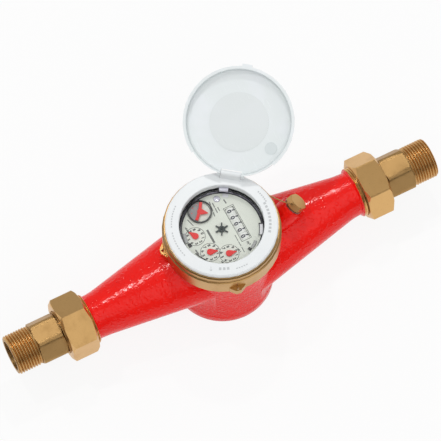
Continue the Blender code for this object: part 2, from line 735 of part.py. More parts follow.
def sealing_hole_point(distance):
    """A point on the axis of the plug's sealing hole, which crosses it from the flat that faces the cup."""
    x = distance * math.cos(PLUG_HOLE_AZIMUTH)
    y = distance * math.sin(PLUG_HOLE_AZIMUTH)
    return in_plug((x, y, WASHER_THICKNESS + 2 * GAP + PLUG_HOLE_HEIGHT))


def make_regulator():
    base = WASHER_THICKNESS + 2 * GAP
    plug, envelope = chamfered_hex("regulator_plug", PLUG_ACROSS_FLATS, base, base + PLUG_HEIGHT, SMALL_EDGE)
    shank = cylinder(
        "plug_shank",
        BOSS_THREAD_RADIUS - GAP,
        OVERCUT - BOSS_THREAD_DEPTH,
        base + OVERCUT,
        segments=SMALL_FACETS,
        cutter=True,
    )
    drill = cylinder(
        "plug_drill",
        PLUG_HOLE_RADIUS,
        -PLUG_ACROSS_FLATS,
        PLUG_ACROSS_FLATS,
        segments=HOLE_FACETS,
        cutter=True,
    )
    boss_frame(plug, envelope, shank)
    lean = Euler((0.0, BOSS_LEAN, 0.0)).to_matrix()
    toward = lean @ Matrix.Rotation(PLUG_HOLE_AZIMUTH, 3, "Z") @ Matrix.Rotation(math.pi / 2, 3, "Y")
    drill.rotation_euler = toward.to_euler()
    drill.location = sealing_hole_point(0.0)
    join(plug, shank)
    cut(plug, drill)
    plug.rotation_euler = (lean @ Matrix.Rotation(PLUG_TURN, 3, "Z")).to_euler()
    washer = turned(
        "regulator_washer",
        ring_profile(WASHER_RADIUS, BOSS_THREAD_RADIUS, GAP, GAP + WASHER_THICKNESS),
        segments=SMALL_FACETS,
        closed=True,
    )
    top = OVERCUT - BOSS_THREAD_DEPTH - GAP
    screw = cylinder(
        "regulating_screw", BOSS_BORE_RADIUS - GAP, top - SCREW_LENGTH, top, segments=SMALL_FACETS
    )
    half = SCREW_SLOT_WIDTH / 2
    reach = BOSS_BORE_RADIUS + OVERCUT
    low = top - SCREW_SLOT_DEPTH
    slot = box("screw_slot", (-half, -reach, low), (half, reach, top + OVERCUT), cutter=True)
    boss_frame(washer, screw, slot)
    cut(screw, slot)
    return {"steel": [washer], "brass": [plug, screw]}


def ring_profile(outer, inner, bottom, top):
    return [(outer, top), (outer, bottom), (inner, bottom), (inner, top)]


# Head ring with its sealing lugs


def make_head_ring():
    ring = turned(
        "head_ring",
        [
            (HEAD_TOP_RADIUS - CASTING_EDGE, HEAD_TOP_Z),
            (HEAD_TOP_RADIUS, HEAD_TOP_Z - CASTING_EDGE),
            (HEAD_TOP_RADIUS, HEAD_STEP_Z),
            (HEAD_RADIUS, HEAD_STEP_Z - FINE_EDGE),
            (HEAD_RADIUS, HEAD_BOTTOM_Z + SMALL_EDGE),
            (HEAD_RADIUS - SMALL_EDGE, HEAD_BOTTOM_Z),
            (HEAD_THREAD_RADIUS, HEAD_BOTTOM_Z),
            (HEAD_THREAD_RADIUS, LIP_Z),
            (HEAD_LIP_RADIUS, LIP_Z),
            (HEAD_LIP_RADIUS, HEAD_TOP_Z),
        ],
        segments=LARGE_FACETS,
        closed=True,
    )
    root = HEAD_RADIUS - LUG_ROOT
    for number in range(LUG_COUNT):
        azimuth = LUG_AZIMUTH + LUG_SPACING * number
        outline = [
            (root, -LUG_WIDTH / 2),
            (HEAD_RADIUS, -LUG_WIDTH / 2),
            (LUG_REACH, -LUG_TIP_WIDTH / 2),
            (LUG_REACH, LUG_TIP_WIDTH / 2),
            (HEAD_RADIUS, LUG_WIDTH / 2),
            (root, LUG_WIDTH / 2),
        ]
        lug = extruded(f"lug_{number + 1}", outline, LUG_BOTTOM_Z, LUG_BOTTOM_Z + LUG_HEIGHT, cutter=True)
        hole = cylinder(
            f"lug_hole_{number + 1}",
            LUG_HOLE_RADIUS,
            LUG_BOTTOM_Z - OVERCUT,
            LUG_BOTTOM_Z + LUG_HEIGHT + OVERCUT,
            at=(LUG_HOLE_PLACE, 0.0),
            segments=HOLE_FACETS,
            cutter=True,
        )
        lug.rotation_euler.z = azimuth
        hole.rotation_euler.z = azimuth
        join(ring, lug)
        cut(ring, hole)
    return ring


# Cover ring, hinge and lid


def empty(name, location, rotation=(0.0, 0.0, 0.0), parent=None):
    made = place(name, None)
    made.location = location
    made.rotation_euler = rotation
    made.parent = parent
    return made


def knuckle_outline(foot, foot_width):
    """The hinge block from the side: a wide foot and a round top about the pin."""
    sides = [(foot_width / 2, -foot), (foot_width / 2, -0.6 * foot)]
    top = arc(HINGE_KNUCKLE_RADIUS, 0.0, math.pi, HOLE_FACETS)
    return sides + top + [(-x, z) for x, z in reversed(sides)]


def along_hinge(thing, frame, offset=0.0):
    """Stands a shape drawn in XY upright in the hinge's frame, its thickness along the pin."""
    thing.rotation_euler = (math.pi / 2, 0.0, 0.0)
    thing.location = (0.0, offset, 0.0)
    thing.parent = frame


def make_cover(hinge):
    eye_wall = REGISTER_RIM_INNER_RADIUS - GAP
    under = COVER_TOP_Z - COVER_THICKNESS
    collar_z = WINDOW_TOP_Z + GAP
    ring = turned(
        "cover_ring",
        [
            (COVER_RADIUS - COVER_EDGE, COVER_TOP_Z),
            (COVER_RADIUS, COVER_TOP_Z - COVER_EDGE),
            (COVER_RADIUS, COVER_UNDER_Z),
            (COVER_RADIUS - COVER_SKIRT_WALL, COVER_UNDER_Z),
            (COVER_RADIUS - COVER_SKIRT_WALL, under),
            (eye_wall, under),
            (eye_wall, collar_z),
            (COVER_EYE_RADIUS, collar_z),
            (COVER_EYE_RADIUS, COVER_TOP_Z - FINE_EDGE),
            (COVER_EYE_RADIUS + FINE_EDGE, COVER_TOP_Z),
        ],
        segments=LARGE_FACETS,
        closed=True,
    )
    half = HINGE_BLOCK_WIDTH / 2
    foot = HINGE_HEIGHT + HINGE_BLOCK_SINK
    block = extruded("hinge_block", knuckle_outline(foot, HINGE_BLOCK_FOOT), -half, half, cutter=True)
    hole = cylinder(
        "hinge_hole", HINGE_HOLE_RADIUS, -half - OVERCUT, half + OVERCUT, segments=HOLE_FACETS, cutter=True
    )
    pin_half = HINGE_PIN_LENGTH / 2
    pin = cylinder("hinge_pin", HINGE_PIN_RADIUS, -pin_half, pin_half, segments=HOLE_FACETS)
    for thing in (block, hole, pin):
        along_hinge(thing, hinge)
    join(ring, block)
    cut(ring, hole)
    return ring, pin


def make_lid(hinge):
    """The lid as closed, in the hinge's frame, whose X points away from the ring's centre."""
    swing = empty("lid_swing", (0.0, 0.0, 0.0), (0.0, LID_OPEN, 0.0), parent=hinge)
    rim = LID_LIFT - HINGE_HEIGHT
    top = rim + LID_HEIGHT
    ceiling = top - LID_SKIN
    inner = LID_RADIUS - LID_WALL
    seam = LID_FLANGE_THICKNESS / 10
    fillet = arc(LID_FILLET, 0.0, math.pi / 2, 4)
    lid = turned(
        "lid",
        [
            (0.0, top),
            (LID_RADIUS - LID_EDGE, top),
            (LID_RADIUS - 0.3 * LID_EDGE, top - 0.3 * LID_EDGE),
            (LID_RADIUS, top - LID_EDGE),
            (LID_RADIUS, rim + seam),
            (inner, rim + seam),
            *[(inner - LID_FILLET + x, ceiling - LID_FILLET + z) for x, z in fillet],
            (LID_PAD_RADIUS, ceiling),
            (LID_PAD_RADIUS, ceiling - LID_PAD_THICKNESS),
            (0.0, ceiling - LID_PAD_THICKNESS),
        ],
        segments=LARGE_FACETS,
    )
    lid.location.x = -HINGE_PLACE
    lid.parent = swing
    spread = math.pi - LID_FLANGE_BREAK
    inside = LID_RADIUS - 0.6 * LID_WALL
    steps = int(LARGE_FACETS * spread / math.pi)
    outline = arc(LID_FLANGE_RADIUS, math.pi - spread, math.pi + spread, steps)
    outline += arc(inside, math.pi + spread, math.pi - spread, steps)
    flange = extruded("lid_flange", outline, rim, rim + LID_FLANGE_THICKNESS, cutter=True)
    tab = box(
        "lid_tab",
        (-LID_FLANGE_RADIUS - LID_TAB_REACH, -LID_TAB_WIDTH / 2, rim + seam),
        (-inside, LID_TAB_WIDTH / 2, rim + seam + LID_FLANGE_THICKNESS),
        cutter=True,
    )
    mark = cylinder(
        "lid_mark",
        LID_MARK_RADIUS,
        ceiling - LID_PAD_THICKNESS,
        ceiling + 0.5 * LID_SKIN,
        at=(LID_MARK_PLACE * math.cos(LID_MARK_AZIMUTH), LID_MARK_PLACE * math.sin(LID_MARK_AZIMUTH)),
        segments=SMALL_FACETS,
        cutter=True,
    )
    half = HINGE_BLOCK_WIDTH / 2 + GAP
    notch = box(
        "lid_notch",
        (HINGE_PLACE - LID_NOTCH_BACK, -half, rim - OVERCUT),
        (LID_FLANGE_RADIUS + OVERCUT, half, top + OVERCUT),
        cutter=True,
    )
    for thing in (flange, tab, notch):
        thing.location.x = -HINGE_PLACE
        thing.parent = swing
    mark.location.x -= HINGE_PLACE
    mark.parent = swing
    join(lid, flange, tab, mark)
    cut(lid, notch)
    for side in (-1, 1):
        outline = arc(HINGE_KNUCKLE_RADIUS, 0.0, 2 * math.pi * (1 - 1 / SMALL_FACETS), SMALL_FACETS)
        start = side * half
        end = side * (half + LID_EAR_WIDTH)
        ear = extruded("lid_ear", outline, min(start, end), max(start, end), cutter=True)
        along_hinge(ear, swing)
        join(lid, ear)
    reach = half + LID_EAR_WIDTH + OVERCUT
    hole = cylinder("lid_hole", HINGE_HOLE_RADIUS, -reach, reach, segments=HOLE_FACETS, cutter=True)
    along_hinge(hole, swing)
    cut(lid, hole)
    return lid


# Wet side: strainer, measuring chamber, turbine and the plate above them


def ring_of_slots(name, count, radius, length, width, bottom, top, slant=0.0):
    """Boxes set round a circle, as one cutter."""
    shape = bmesh.new()
    for number in range(count):
        made = bmesh.ops.create_cube(shape, size=1.0)["verts"]
        bmesh.ops.scale(shape, vec=(length, width, top - bottom), verts=made)
        bmesh.ops.rotate(shape, cent=(0, 0, 0), matrix=Matrix.Rotation(slant, 3, "Z"), verts=made)
        bmesh.ops.translate(shape, vec=(radius, 0.0, (bottom + top) / 2), verts=made)
        turn = Matrix.Rotation(2 * math.pi * number / count, 3, "Z")
        bmesh.ops.rotate(shape, cent=(0, 0, 0), matrix=turn, verts=made)
    return from_bmesh(name, shape, cutter=True)


def make_chamber():
    inner = CHAMBER_RADIUS - CHAMBER_WALL
    flange_z = CHAMBER_LEDGE_Z + GAP
    flange_top = flange_z + CHAMBER_FLANGE_THICKNESS
    chamber = turned(
        "measuring_chamber",
        [
            (CHAMBER_RADIUS, CHAMBER_TOP_Z),
            (CHAMBER_RADIUS, flange_top),
            (CHAMBER_FLANGE_RADIUS, flange_top),
            (CHAMBER_FLANGE_RADIUS, flange_z),
            (CHAMBER_RADIUS, flange_z),
            (CHAMBER_RADIUS, CHAMBER_BOTTOM_Z),
            (PIVOT_RADIUS + GAP, CHAMBER_BOTTOM_Z),
            (PIVOT_RADIUS + GAP, CHAMBER_BOTTOM_Z + CHAMBER_FLOOR),
            (inner, CHAMBER_BOTTOM_Z + CHAMBER_FLOOR),
            (inner, CHAMBER_TOP_Z),
        ],
        segments=CHAMBER_FACETS,
        closed=True,
    )
    middle = CHAMBER_RADIUS - CHAMBER_WALL / 2
    high = JET_BOTTOM_Z + JET_HEIGHT
    jets = ring_of_slots("jets", CHAMBER_SLOTS, middle, JET_LENGTH, JET_WIDTH, JET_BOTTOM_Z, high, JET_SLANT)
    low = flange_top + OUTLET_SLOT_LIFT
    high = low + OUTLET_SLOT_HEIGHT
    outlets = ring_of_slots(
        "outlets", CHAMBER_SLOTS, middle, OUTLET_SLOT_LENGTH, OUTLET_SLOT_WIDTH, low, high
    )
    cut(chamber, jets, outlets)
    return chamber


def make_chamber_cover():
    low = CHAMBER_TOP_Z + GAP
    inner = CHAMBER_RADIUS - CHAMBER_COVER_RING
    bearing = TURBINE_STEM_RADIUS + GAP
    return turned(
        "chamber_cover",
        [
            (CHAMBER_RADIUS, PLATE_Z - GAP),
            (CHAMBER_RADIUS, low),
            (bearing, low),
            (bearing, low + CHAMBER_COVER_THICKNESS),
            (inner, low + CHAMBER_COVER_THICKNESS),
            (inner, PLATE_Z - GAP),
        ],
        segments=CHAMBER_FACETS,
        closed=True,
    )


def make_turbine():
    stem_top = PLATE_Z - GAP - MAGNET_THICKNESS - GAP
    top = TURBINE_BOTTOM_Z + TURBINE_HEIGHT
    wheel = turned(
        "turbine_wheel",
        [
            (0.0, stem_top),
            (TURBINE_STEM_RADIUS, stem_top),
            (TURBINE_STEM_RADIUS, top + TURBINE_HUB_TAPER),
            (TURBINE_HUB_RADIUS, top),
            (TURBINE_HUB_RADIUS, TURBINE_BOTTOM_Z),
            (PIVOT_RADIUS + GAP, TURBINE_BOTTOM_Z),
            (PIVOT_RADIUS + GAP, TURBINE_BOTTOM_Z + PIVOT_REACH + GAP),
            (0.0, TURBINE_BOTTOM_Z + PIVOT_REACH + GAP),
        ],
        segments=SMALL_FACETS,
    )
    half = TURBINE_BLADE_THICKNESS / 2
    for number in range(TURBINE_BLADES):
        blade = box(
            f"blade_{number + 1}",
            (TURBINE_HUB_RADIUS - OVERCUT, -half, TURBINE_BOTTOM_Z + TURBINE_BLADE_MARGIN),
            (TURBINE_RADIUS, half, top - TURBINE_BLADE_MARGIN),
            cutter=True,
        )
        blade.rotation_euler.z = 2 * math.pi * number / TURBINE_BLADES
        join(wheel, blade)
    magnet = cylinder("drive_magnet", MAGNET_RADIUS, stem_top + GAP, PLATE_Z - GAP, segments=SMALL_FACETS)
    pivot = turned(
        "turbine_pivot",
        [
            (0.0, TURBINE_BOTTOM_Z + PIVOT_REACH),
            (PIVOT_RADIUS, TURBINE_BOTTOM_Z + PIVOT_REACH - PIVOT_RADIUS),
            (PIVOT_RADIUS, CHAMBER_BOTTOM_Z - GAP),
            (PIVOT_HEAD_RADIUS, CHAMBER_BOTTOM_Z - GAP),
            (PIVOT_HEAD_RADIUS, CHAMBER_BOTTOM_Z - GAP - PIVOT_HEAD_THICKNESS),
            (0.0, CHAMBER_BOTTOM_Z - GAP - PIVOT_HEAD_THICKNESS),
        ],
        segments=SMALL_FACETS,
    )
    return wheel, magnet, pivot


def make_plate():
    outer = CUP_MOUTH_RADIUS - GAP
    plate = turned(
        "pressure_plate",
        [
            (0.0, PLATE_TOP_Z),
            (PLATE_WALL_RADIUS, PLATE_TOP_Z),
            (PLATE_WALL_RADIUS, PLATE_FLANGE_Z + PLATE_FLANGE_THICKNESS),
            (PLATE_FLANGE_RADIUS, PLATE_FLANGE_Z + PLATE_FLANGE_THICKNESS),
            (PLATE_FLANGE_RADIUS, PLATE_FLANGE_Z),
            (outer, PLATE_FLANGE_Z),
            (outer, PLATE_Z),
            (0.0, PLATE_Z),
        ],
        segments=INNER_FACETS,
    )
    seat = PLATE_LEDGE_Z + GAP
    gasket = turned(
        "head_gasket",
        ring_profile(outer, CUP_CAVITY_RADIUS + GAP, seat, seat + GASKET_THICKNESS),
        segments=INNER_FACETS,
        closed=True,
    )
    return plate, gasket


def make_strainer():
    """A cup with round holes, closed end upstream of the cup's wall."""
    outer = PIPE_BORE_RADIUS - GAP
    end = STRAINER_START - STRAINER_LENGTH
    strainer = turned(
        "inlet_strainer",
        [
            (0.0, end + STRAINER_WALL),
            (STRAINER_RADIUS - STRAINER_WALL, end + STRAINER_WALL),
            (STRAINER_RADIUS - STRAINER_WALL, STRAINER_START),
            (outer, STRAINER_START),
            (outer, STRAINER_START - STRAINER_FLANGE),
            (STRAINER_RADIUS, STRAINER_START - STRAINER_FLANGE),
            (STRAINER_RADIUS, end),
            (0.0, end),
        ],
        segments=SMALL_FACETS,
    )
    slots = ring_of_slots(
        "strainer_slots",
        STRAINER_SLOTS,
        STRAINER_RADIUS - STRAINER_WALL / 2,
        2 * STRAINER_WALL,
        STRAINER_SLOT_WIDTH,
        end + STRAINER_SLOT_MARGIN,
        STRAINER_START - STRAINER_FLANGE - STRAINER_SLOT_MARGIN,
    )
    turn_to_pipe(strainer, 1)
    turn_to_pipe(slots, 1)
    cut(strainer, slots)
    return strainer


# Register: a dry capsule that stands in the pressure plate and turns under the head ring


def make_register_cup():
    ledge_z = MOVEMENT_Z - GAP
    cup = turned(
        "register_cup",
        [
            (0.0, REGISTER_Z + REGISTER_FLOOR_THICKNESS),
            (REGISTER_INNER_RADIUS - MOVEMENT_LEDGE, REGISTER_Z + REGISTER_FLOOR_THICKNESS),
            (REGISTER_INNER_RADIUS - MOVEMENT_LEDGE, ledge_z),
            (REGISTER_INNER_RADIUS, ledge_z),
            (REGISTER_INNER_RADIUS, DIAL_LEDGE_Z),
            (REGISTER_RIM_INNER_RADIUS, DIAL_LEDGE_Z),
            (REGISTER_RIM_INNER_RADIUS, HEAD_TOP_Z),
            (REGISTER_RIM_RADIUS, HEAD_TOP_Z),
            (REGISTER_RIM_RADIUS, REGISTER_FLANGE_TOP_Z),
            (REGISTER_FLANGE_RADIUS, REGISTER_FLANGE_TOP_Z),
            (REGISTER_FLANGE_RADIUS, REGISTER_FLANGE_Z),
            (REGISTER_RADIUS, REGISTER_FLANGE_Z),
            (REGISTER_RADIUS, REGISTER_Z),
            (0.0, REGISTER_Z),
        ],
        segments=INNER_FACETS,
    )
    slip = turned(
        "slip_ring",
        ring_profile(
            REGISTER_FLANGE_RADIUS,
            HEAD_LIP_RADIUS,
            LIP_Z - GAP - SLIP_RING_THICKNESS,
            LIP_Z - GAP,
        ),
        segments=INNER_FACETS,
        closed=True,
    )
    return cup, slip


def spindle_places():
    """The star's spindle in the middle, then the four pointers'."""
    place_radius = BEZEL_INNER_RADIUS - SMALL_POINTER_MARGIN
    small = [(place_radius * math.cos(a), place_radius * math.sin(a)) for a in SMALL_POINTER_AZIMUTHS]
    return [(0.0, 0.0), (BIG_POINTER_X, BIG_POINTER_Y)] + small


def drum_row_end():
    return DRUM_PITCH * (DRUM_COUNT - 1) / 2 + DRUM_WIDTH / 2


def make_movement():
    """The plate that carries the spindles and, on two bearings, the drums' shaft."""
    plate = cylinder(
        "movement_plate", REGISTER_INNER_RADIUS - GAP, MOVEMENT_Z, MOVEMENT_TOP_Z, segments=INNER_FACETS
    )
    low = MOVEMENT_Z - OVERCUT
    high = MOVEMENT_TOP_Z + OVERCUT
    holes = []
    for at in spindle_places():
        holes.append(cylinder("spindle_hole", SPINDLE_HOLE_RADIUS, low, high, at, HOLE_FACETS, True))
    drop = DRUM_Z - MOVEMENT_TOP_Z
    half_slot = math.sqrt(DRUM_RADIUS**2 - drop**2) + DRUM_CLEARANCE
    holes.append(
        box(
            "drum_well",
            (DRUM_ROW_X - half_slot, DRUM_ROW_Y - drum_row_end() - GAP, low),
            (DRUM_ROW_X + half_slot, DRUM_ROW_Y + drum_row_end() + GAP, high),
            cutter=True,
        )
    )
    reach = 3 * DRUM_SHAFT_RADIUS
    near = drum_row_end() + 2 * GAP
    far = near + BEARING_THICKNESS
    for side in (-1, 1):
        ends = sorted((DRUM_ROW_Y + side * near, DRUM_ROW_Y + side * far))
        bearing = box(
            "bearing",
            (DRUM_ROW_X - reach, ends[0], MOVEMENT_TOP_Z - MOVEMENT_THICKNESS / 2),
            (DRUM_ROW_X + reach, ends[1], DRUM_Z + reach),
            cutter=True,
        )
        join(plate, bearing)
    past = far + OVERCUT
    shaft_hole = cylinder(
        "shaft_hole", DRUM_SHAFT_RADIUS + GAP, -past, past, segments=HOLE_FACETS, cutter=True
    )
    along_drums(shaft_hole)
    cut(plate, shaft_hole, *holes)
    shaft = cylinder("drum_shaft", DRUM_SHAFT_RADIUS, -far, far, segments=HOLE_FACETS)
    along_drums(shaft)
    return plate, shaft


def along_drums(thing, offset=0.0):
    thing.rotation_euler = (math.pi / 2, 0.0, 0.0)
    thing.location = (DRUM_ROW_X, DRUM_ROW_Y + offset, DRUM_Z)


def make_drums():
    drums = []
    for number in range(DRUM_COUNT):
        drum = turned(
            f"number_drum_{number + 1}",
            ring_profile(DRUM_RADIUS, DRUM_SHAFT_RADIUS + GAP, -DRUM_WIDTH / 2, DRUM_WIDTH / 2),
            segments=SMALL_FACETS,
            closed=True,
        )
        along_drums(drum, DRUM_PITCH * (number - (DRUM_COUNT - 1) / 2))
        drums.append(drum)
    return drums


def make_dial():
    dial = cylinder("dial_plate", REGISTER_RIM_INNER_RADIUS - GAP, DIAL_Z, DIAL_TOP_Z, segments=LARGE_FACETS)
    low = DIAL_Z - OVERCUT
    high = DIAL_TOP_Z + OVERCUT
    for at in spindle_places():
        cut(dial, cylinder("dial_hole", SPINDLE_HOLE_RADIUS, low, high, at, HOLE_FACETS, True))
    half = drum_row_end() + GAP
    slot = box(
        "drum_slot",
        (DRUM_ROW_X - DRUM_SLOT_WIDTH / 2, DRUM_ROW_Y - half, low),
        (DRUM_ROW_X + DRUM_SLOT_WIDTH / 2, DRUM_ROW_Y + half, high),
        cutter=True,
    )
    cut(dial, slot)
    bezel = turned(
        "dial_bezel",
        ring_profile(BEZEL_INNER_RADIUS + BEZEL_WIDTH, BEZEL_INNER_RADIUS, BEZEL_Z, WINDOW_Z - GAP),
        segments=LARGE_FACETS,
        closed=True,
    )
    well = turned(
        "well_ring",
        ring_profile(WELL_RADIUS, WELL_RADIUS - WELL_WALL, BEZEL_Z, BEZEL_Z + BEZEL_THICKNESS),
        segments=PIPE_FACETS,
        closed=True,
    )
    well.location = (BIG_POINTER_X, BIG_POINTER_Y, 0.0)
    window = cylinder(
        "register_window", REGISTER_RIM_INNER_RADIUS - GAP, WINDOW_Z, WINDOW_TOP_Z, segments=LARGE_FACETS
    )
    return dial, bezel, well, window


def spindle(name, top):
    return cylinder(name, SPINDLE_RADIUS, MOVEMENT_Z, top, segments=HOLE_FACETS)


def make_star():
    """The six-armed wheel that shows the smallest flow, over the driven magnet."""
    bottom = DIAL_TOP_Z + POINTER_LIFT
    outline = []
    for number in range(STAR_ARMS):
        turn = 2 * math.pi * number / STAR_ARMS
        along = Vector((math.cos(turn), math.sin(turn)))
        across = Vector((-along.y, along.x))
        for reach, half in (
            (STAR_ROOT_RADIUS, -STAR_ARM_WIDTH / 2),
            (STAR_RADIUS, -STAR_TIP_WIDTH / 2),
            (STAR_RADIUS, STAR_TIP_WIDTH / 2),
            (STAR_ROOT_RADIUS, STAR_ARM_WIDTH / 2),
        ):
            corner = along * reach + across * half
            outline.append((corner.x, corner.y))
    star = extruded("star_wheel", outline, bottom, bottom + STAR_THICKNESS)
    shaft = spindle("star_spindle", bottom - GAP)
    magnet_top = FOLLOWER_Z + FOLLOWER_THICKNESS
    magnet = cylinder("follower_magnet", FOLLOWER_RADIUS, FOLLOWER_Z, magnet_top, segments=SMALL_FACETS)
    return star, shaft, magnet


def small_pointer_outline():
    """A drop: a round hub and a pointed tip."""
    tangent = math.acos(SMALL_POINTER_HUB / SMALL_POINTER_RADIUS)
    hub = arc(SMALL_POINTER_HUB, tangent, 2 * math.pi - tangent, SMALL_FACETS)
    return hub + [(SMALL_POINTER_RADIUS, 0.0)]


def big_pointer_outline():
    """An arrow with two straight arms set back from square."""
    half = BIG_POINTER_ARM_WIDTH / 2
    head = BIG_POINTER_HEAD_WIDTH / 2
    points = [(BIG_POINTER_RADIUS, 0.0), (BIG_POINTER_HUB, head)]
    for direction in (BIG_POINTER_ARM_SPREAD, -BIG_POINTER_ARM_SPREAD):
        along = Vector((math.cos(direction), math.sin(direction)))
        across = Vector((-along.y, along.x)) * half
        near = along * BIG_POINTER_HUB
        far = along * BIG_POINTER_ARM_LENGTH
        corners = (near - across, far - across, far + across, near + across)
        points += [(corner.x, corner.y) for corner in corners]
        if direction > 0:
            points.append((-BIG_POINTER_HUB, 0.0))
    return points + [(BIG_POINTER_HUB, -head)]


def make_pointers():
    """Four pointers with their spindles; the big one also carries a half disc."""
    made = []
    lift = DIAL_TOP_Z + POINTER_LIFT
    for number, ((x, y), turn) in enumerate(zip(spindle_places()[1:], POINTER_TURNS)):
        pivot = empty(f"pointer_axis_{number + 1}", (x, y, 0.0), (0.0, 0.0, turn))
        bottom = lift + (DISC_THICKNESS + GAP if number == 0 else 0.0)
        outline = big_pointer_outline() if number == 0 else small_pointer_outline()
        pointer = extruded(f"pointer_{number + 1}", outline, bottom, bottom + POINTER_THICKNESS)
        shaft = spindle(f"pointer_spindle_{number + 1}", lift - GAP if number == 0 else bottom - GAP)
        pieces = [pointer, shaft]
        if number == 0:
            half_disc = arc(DISC_RADIUS, math.pi / 2, 3 * math.pi / 2, 17)
            pieces.append(extruded("pulse_disc", half_disc, lift, lift + DISC_THICKNESS))
        for piece in pieces:
            piece.parent = pivot
        made.append(pieces)
    return made


# Unions


def make_union(end, side):
    """Nut, tail piece and gasket at one end, made along local Z and laid on the pipe line."""
    start = NUT_END - NUT_LENGTH - (OUTLET_NUT_EXTRA if end == "outlet" else 0.0)
    lip = COLLAR_END + GAP
    nut, envelope = chamfered_hex(f"union_nut_{end}", NUT_ACROSS_FLATS, start, NUT_END, NUT_EDGE)
    hollow = turned(
        "nut_hollow",
        [
            (0.0, NUT_END + OVERCUT),
            (NUT_LIP_RADIUS, NUT_END + OVERCUT),
            (NUT_LIP_RADIUS, lip),
            (NUT_THREAD_RADIUS, lip),
            (NUT_THREAD_RADIUS, start - OVERCUT),
            (0.0, start - OVERCUT),
        ],
        segments=PIPE_FACETS,
        cutter=True,
    )
    tail = turned(
        f"tail_piece_{end}",
        [
            (TAIL_THREAD_RADIUS - TAIL_THREAD_EDGE, TAIL_END),
            (TAIL_THREAD_RADIUS, TAIL_END - TAIL_THREAD_EDGE),
            (TAIL_THREAD_RADIUS, TAIL_HEX_START + FINE_EDGE),
            (TAIL_NECK_RADIUS, TAIL_HEX_START),
            (TAIL_NECK_RADIUS, COLLAR_END),
            (TAIL_COLLAR_RADIUS, COLLAR_END),
            (TAIL_COLLAR_RADIUS, COLLAR_X),
            (TAIL_BORE_RADIUS, COLLAR_X),
            (TAIL_BORE_RADIUS, TAIL_END),
        ],
        segments=PIPE_FACETS,
        closed=True,
    )
    hex_start = TAIL_HEX_START - FINE_EDGE / 2
    flats, flats_envelope = chamfered_hex(
        f"tail_hex_{end}", TAIL_ACROSS_FLATS, hex_start, TAIL_HEX_END, TAIL_HEX_EDGE, cutter=True
    )
    wall = (TAIL_THREAD_RADIUS + TAIL_BORE_RADIUS) / 2
    bore = cylinder("tail_bore", wall, TAIL_HEX_START - OVERCUT, TAIL_HEX_END + OVERCUT, cutter=True)
    cut(flats, bore)
    join(tail, flats)
    cut(nut, hollow)
    gasket_radius = BODY_THREAD_RADIUS - GASKET_MARGIN
    gasket = turned(
        f"tail_gasket_{end}",
        ring_profile(gasket_radius, PIPE_BORE_RADIUS, BODY_HALF_LENGTH + GAP, COLLAR_X - GAP),
        segments=SMALL_FACETS,
        closed=True,
    )
    for thing in (nut, envelope, hollow, tail, flats, flats_envelope, bore, gasket):
        turn_to_pipe(thing, side)
    nut_turn = Euler((0.0, side * math.pi / 2, 0.0)).to_matrix() @ Matrix.Rotation(NUT_TURNS[end], 3, "Z")
    for thing in (nut, hollow):
        thing.rotation_euler = nut_turn.to_euler()
    return nut, tail, gasket


# Sealing wire


def smooth_path(points, per_span):
    """Centripetal Catmull-Rom points through the given ones, which keeps short spans straight."""
    knots = [Vector(point) for point in points]
    knots = [2 * knots[0] - knots[1]] + knots + [2 * knots[-1] - knots[-2]]
    path = []
    for a, b, c, d in zip(knots, knots[1:], knots[2:], knots[3:]):
        first = math.sqrt((b - a).length)
        second = first + math.sqrt((c - b).length)
        third = second + math.sqrt((d - c).length)
        for step in range(per_span):
            share = step / per_span
            t = first + (second - first) * share
            ab = a.lerp(b, t / first)
            bc = b.lerp(c, share)
            cd = c.lerp(d, (t - second) / (third - second))
            abc = ab.lerp(bc, t / second)
            bcd = bc.lerp(cd, (t - first) / (third - first))
            path.append(abc.lerp(bcd, share))
    return path + [knots[-2]]


def head_ring_point(azimuth, radius, z):
    angle = math.radians(azimuth)
    return (radius * math.cos(angle), radius * math.sin(angle), z)


def make_wire():
    """From the plug's hole round the back of the head ring, down through a lug."""
    flat = PLUG_ACROSS_FLATS / 2
    route = [tuple(sealing_hole_point(distance)) for distance in (-flat - 4 * WIRE_RADIUS, -flat, 0.0, flat)]
    route.append(tuple(sealing_hole_point(flat + 3 * WIRE_RADIUS)))
    touch = HEAD_RADIUS + WIRE_RADIUS + GAP
    ring_z = HEAD_BOTTOM_Z + WIRE_RISE
    lug = math.degrees(LUG_AZIMUTH)
    lug_top = LUG_BOTTOM_Z + LUG_HEIGHT
    spans = 6
    for number in range(spans):
        azimuth = WIRE_START_AZIMUTH + (lug - WIRE_START_AZIMUTH) * number / spans
        away = 3 * GAP if number == 0 else GAP
        route.append(head_ring_point(azimuth, touch + away, ring_z))
    route.append(head_ring_point(lug - 1, LUG_HOLE_PLACE, lug_top + 3 * WIRE_RADIUS))
    route.append(head_ring_point(lug, LUG_HOLE_PLACE, lug_top))
    route.append(head_ring_point(lug, LUG_HOLE_PLACE, LUG_BOTTOM_Z))
    route.append(head_ring_point(lug + 2, LUG_HOLE_PLACE + WIRE_RADIUS, LUG_BOTTOM_Z - WIRE_TAIL))
    curve = bpy.data.curves.new("seal_wire", "CURVE")
    curve.dimensions = "3D"
    curve.bevel_depth = WIRE_RADIUS
    curve.bevel_resolution = 2
    curve.use_fill_caps = True
    path = smooth_path(route, 2)
    spline = curve.splines.new("POLY")
    spline.points.add(len(path) - 1)
    for point, place_at in zip(spline.points, path):
        point.co = (*place_at, 1.0)
    return place("seal_wire", curve)


# Finish


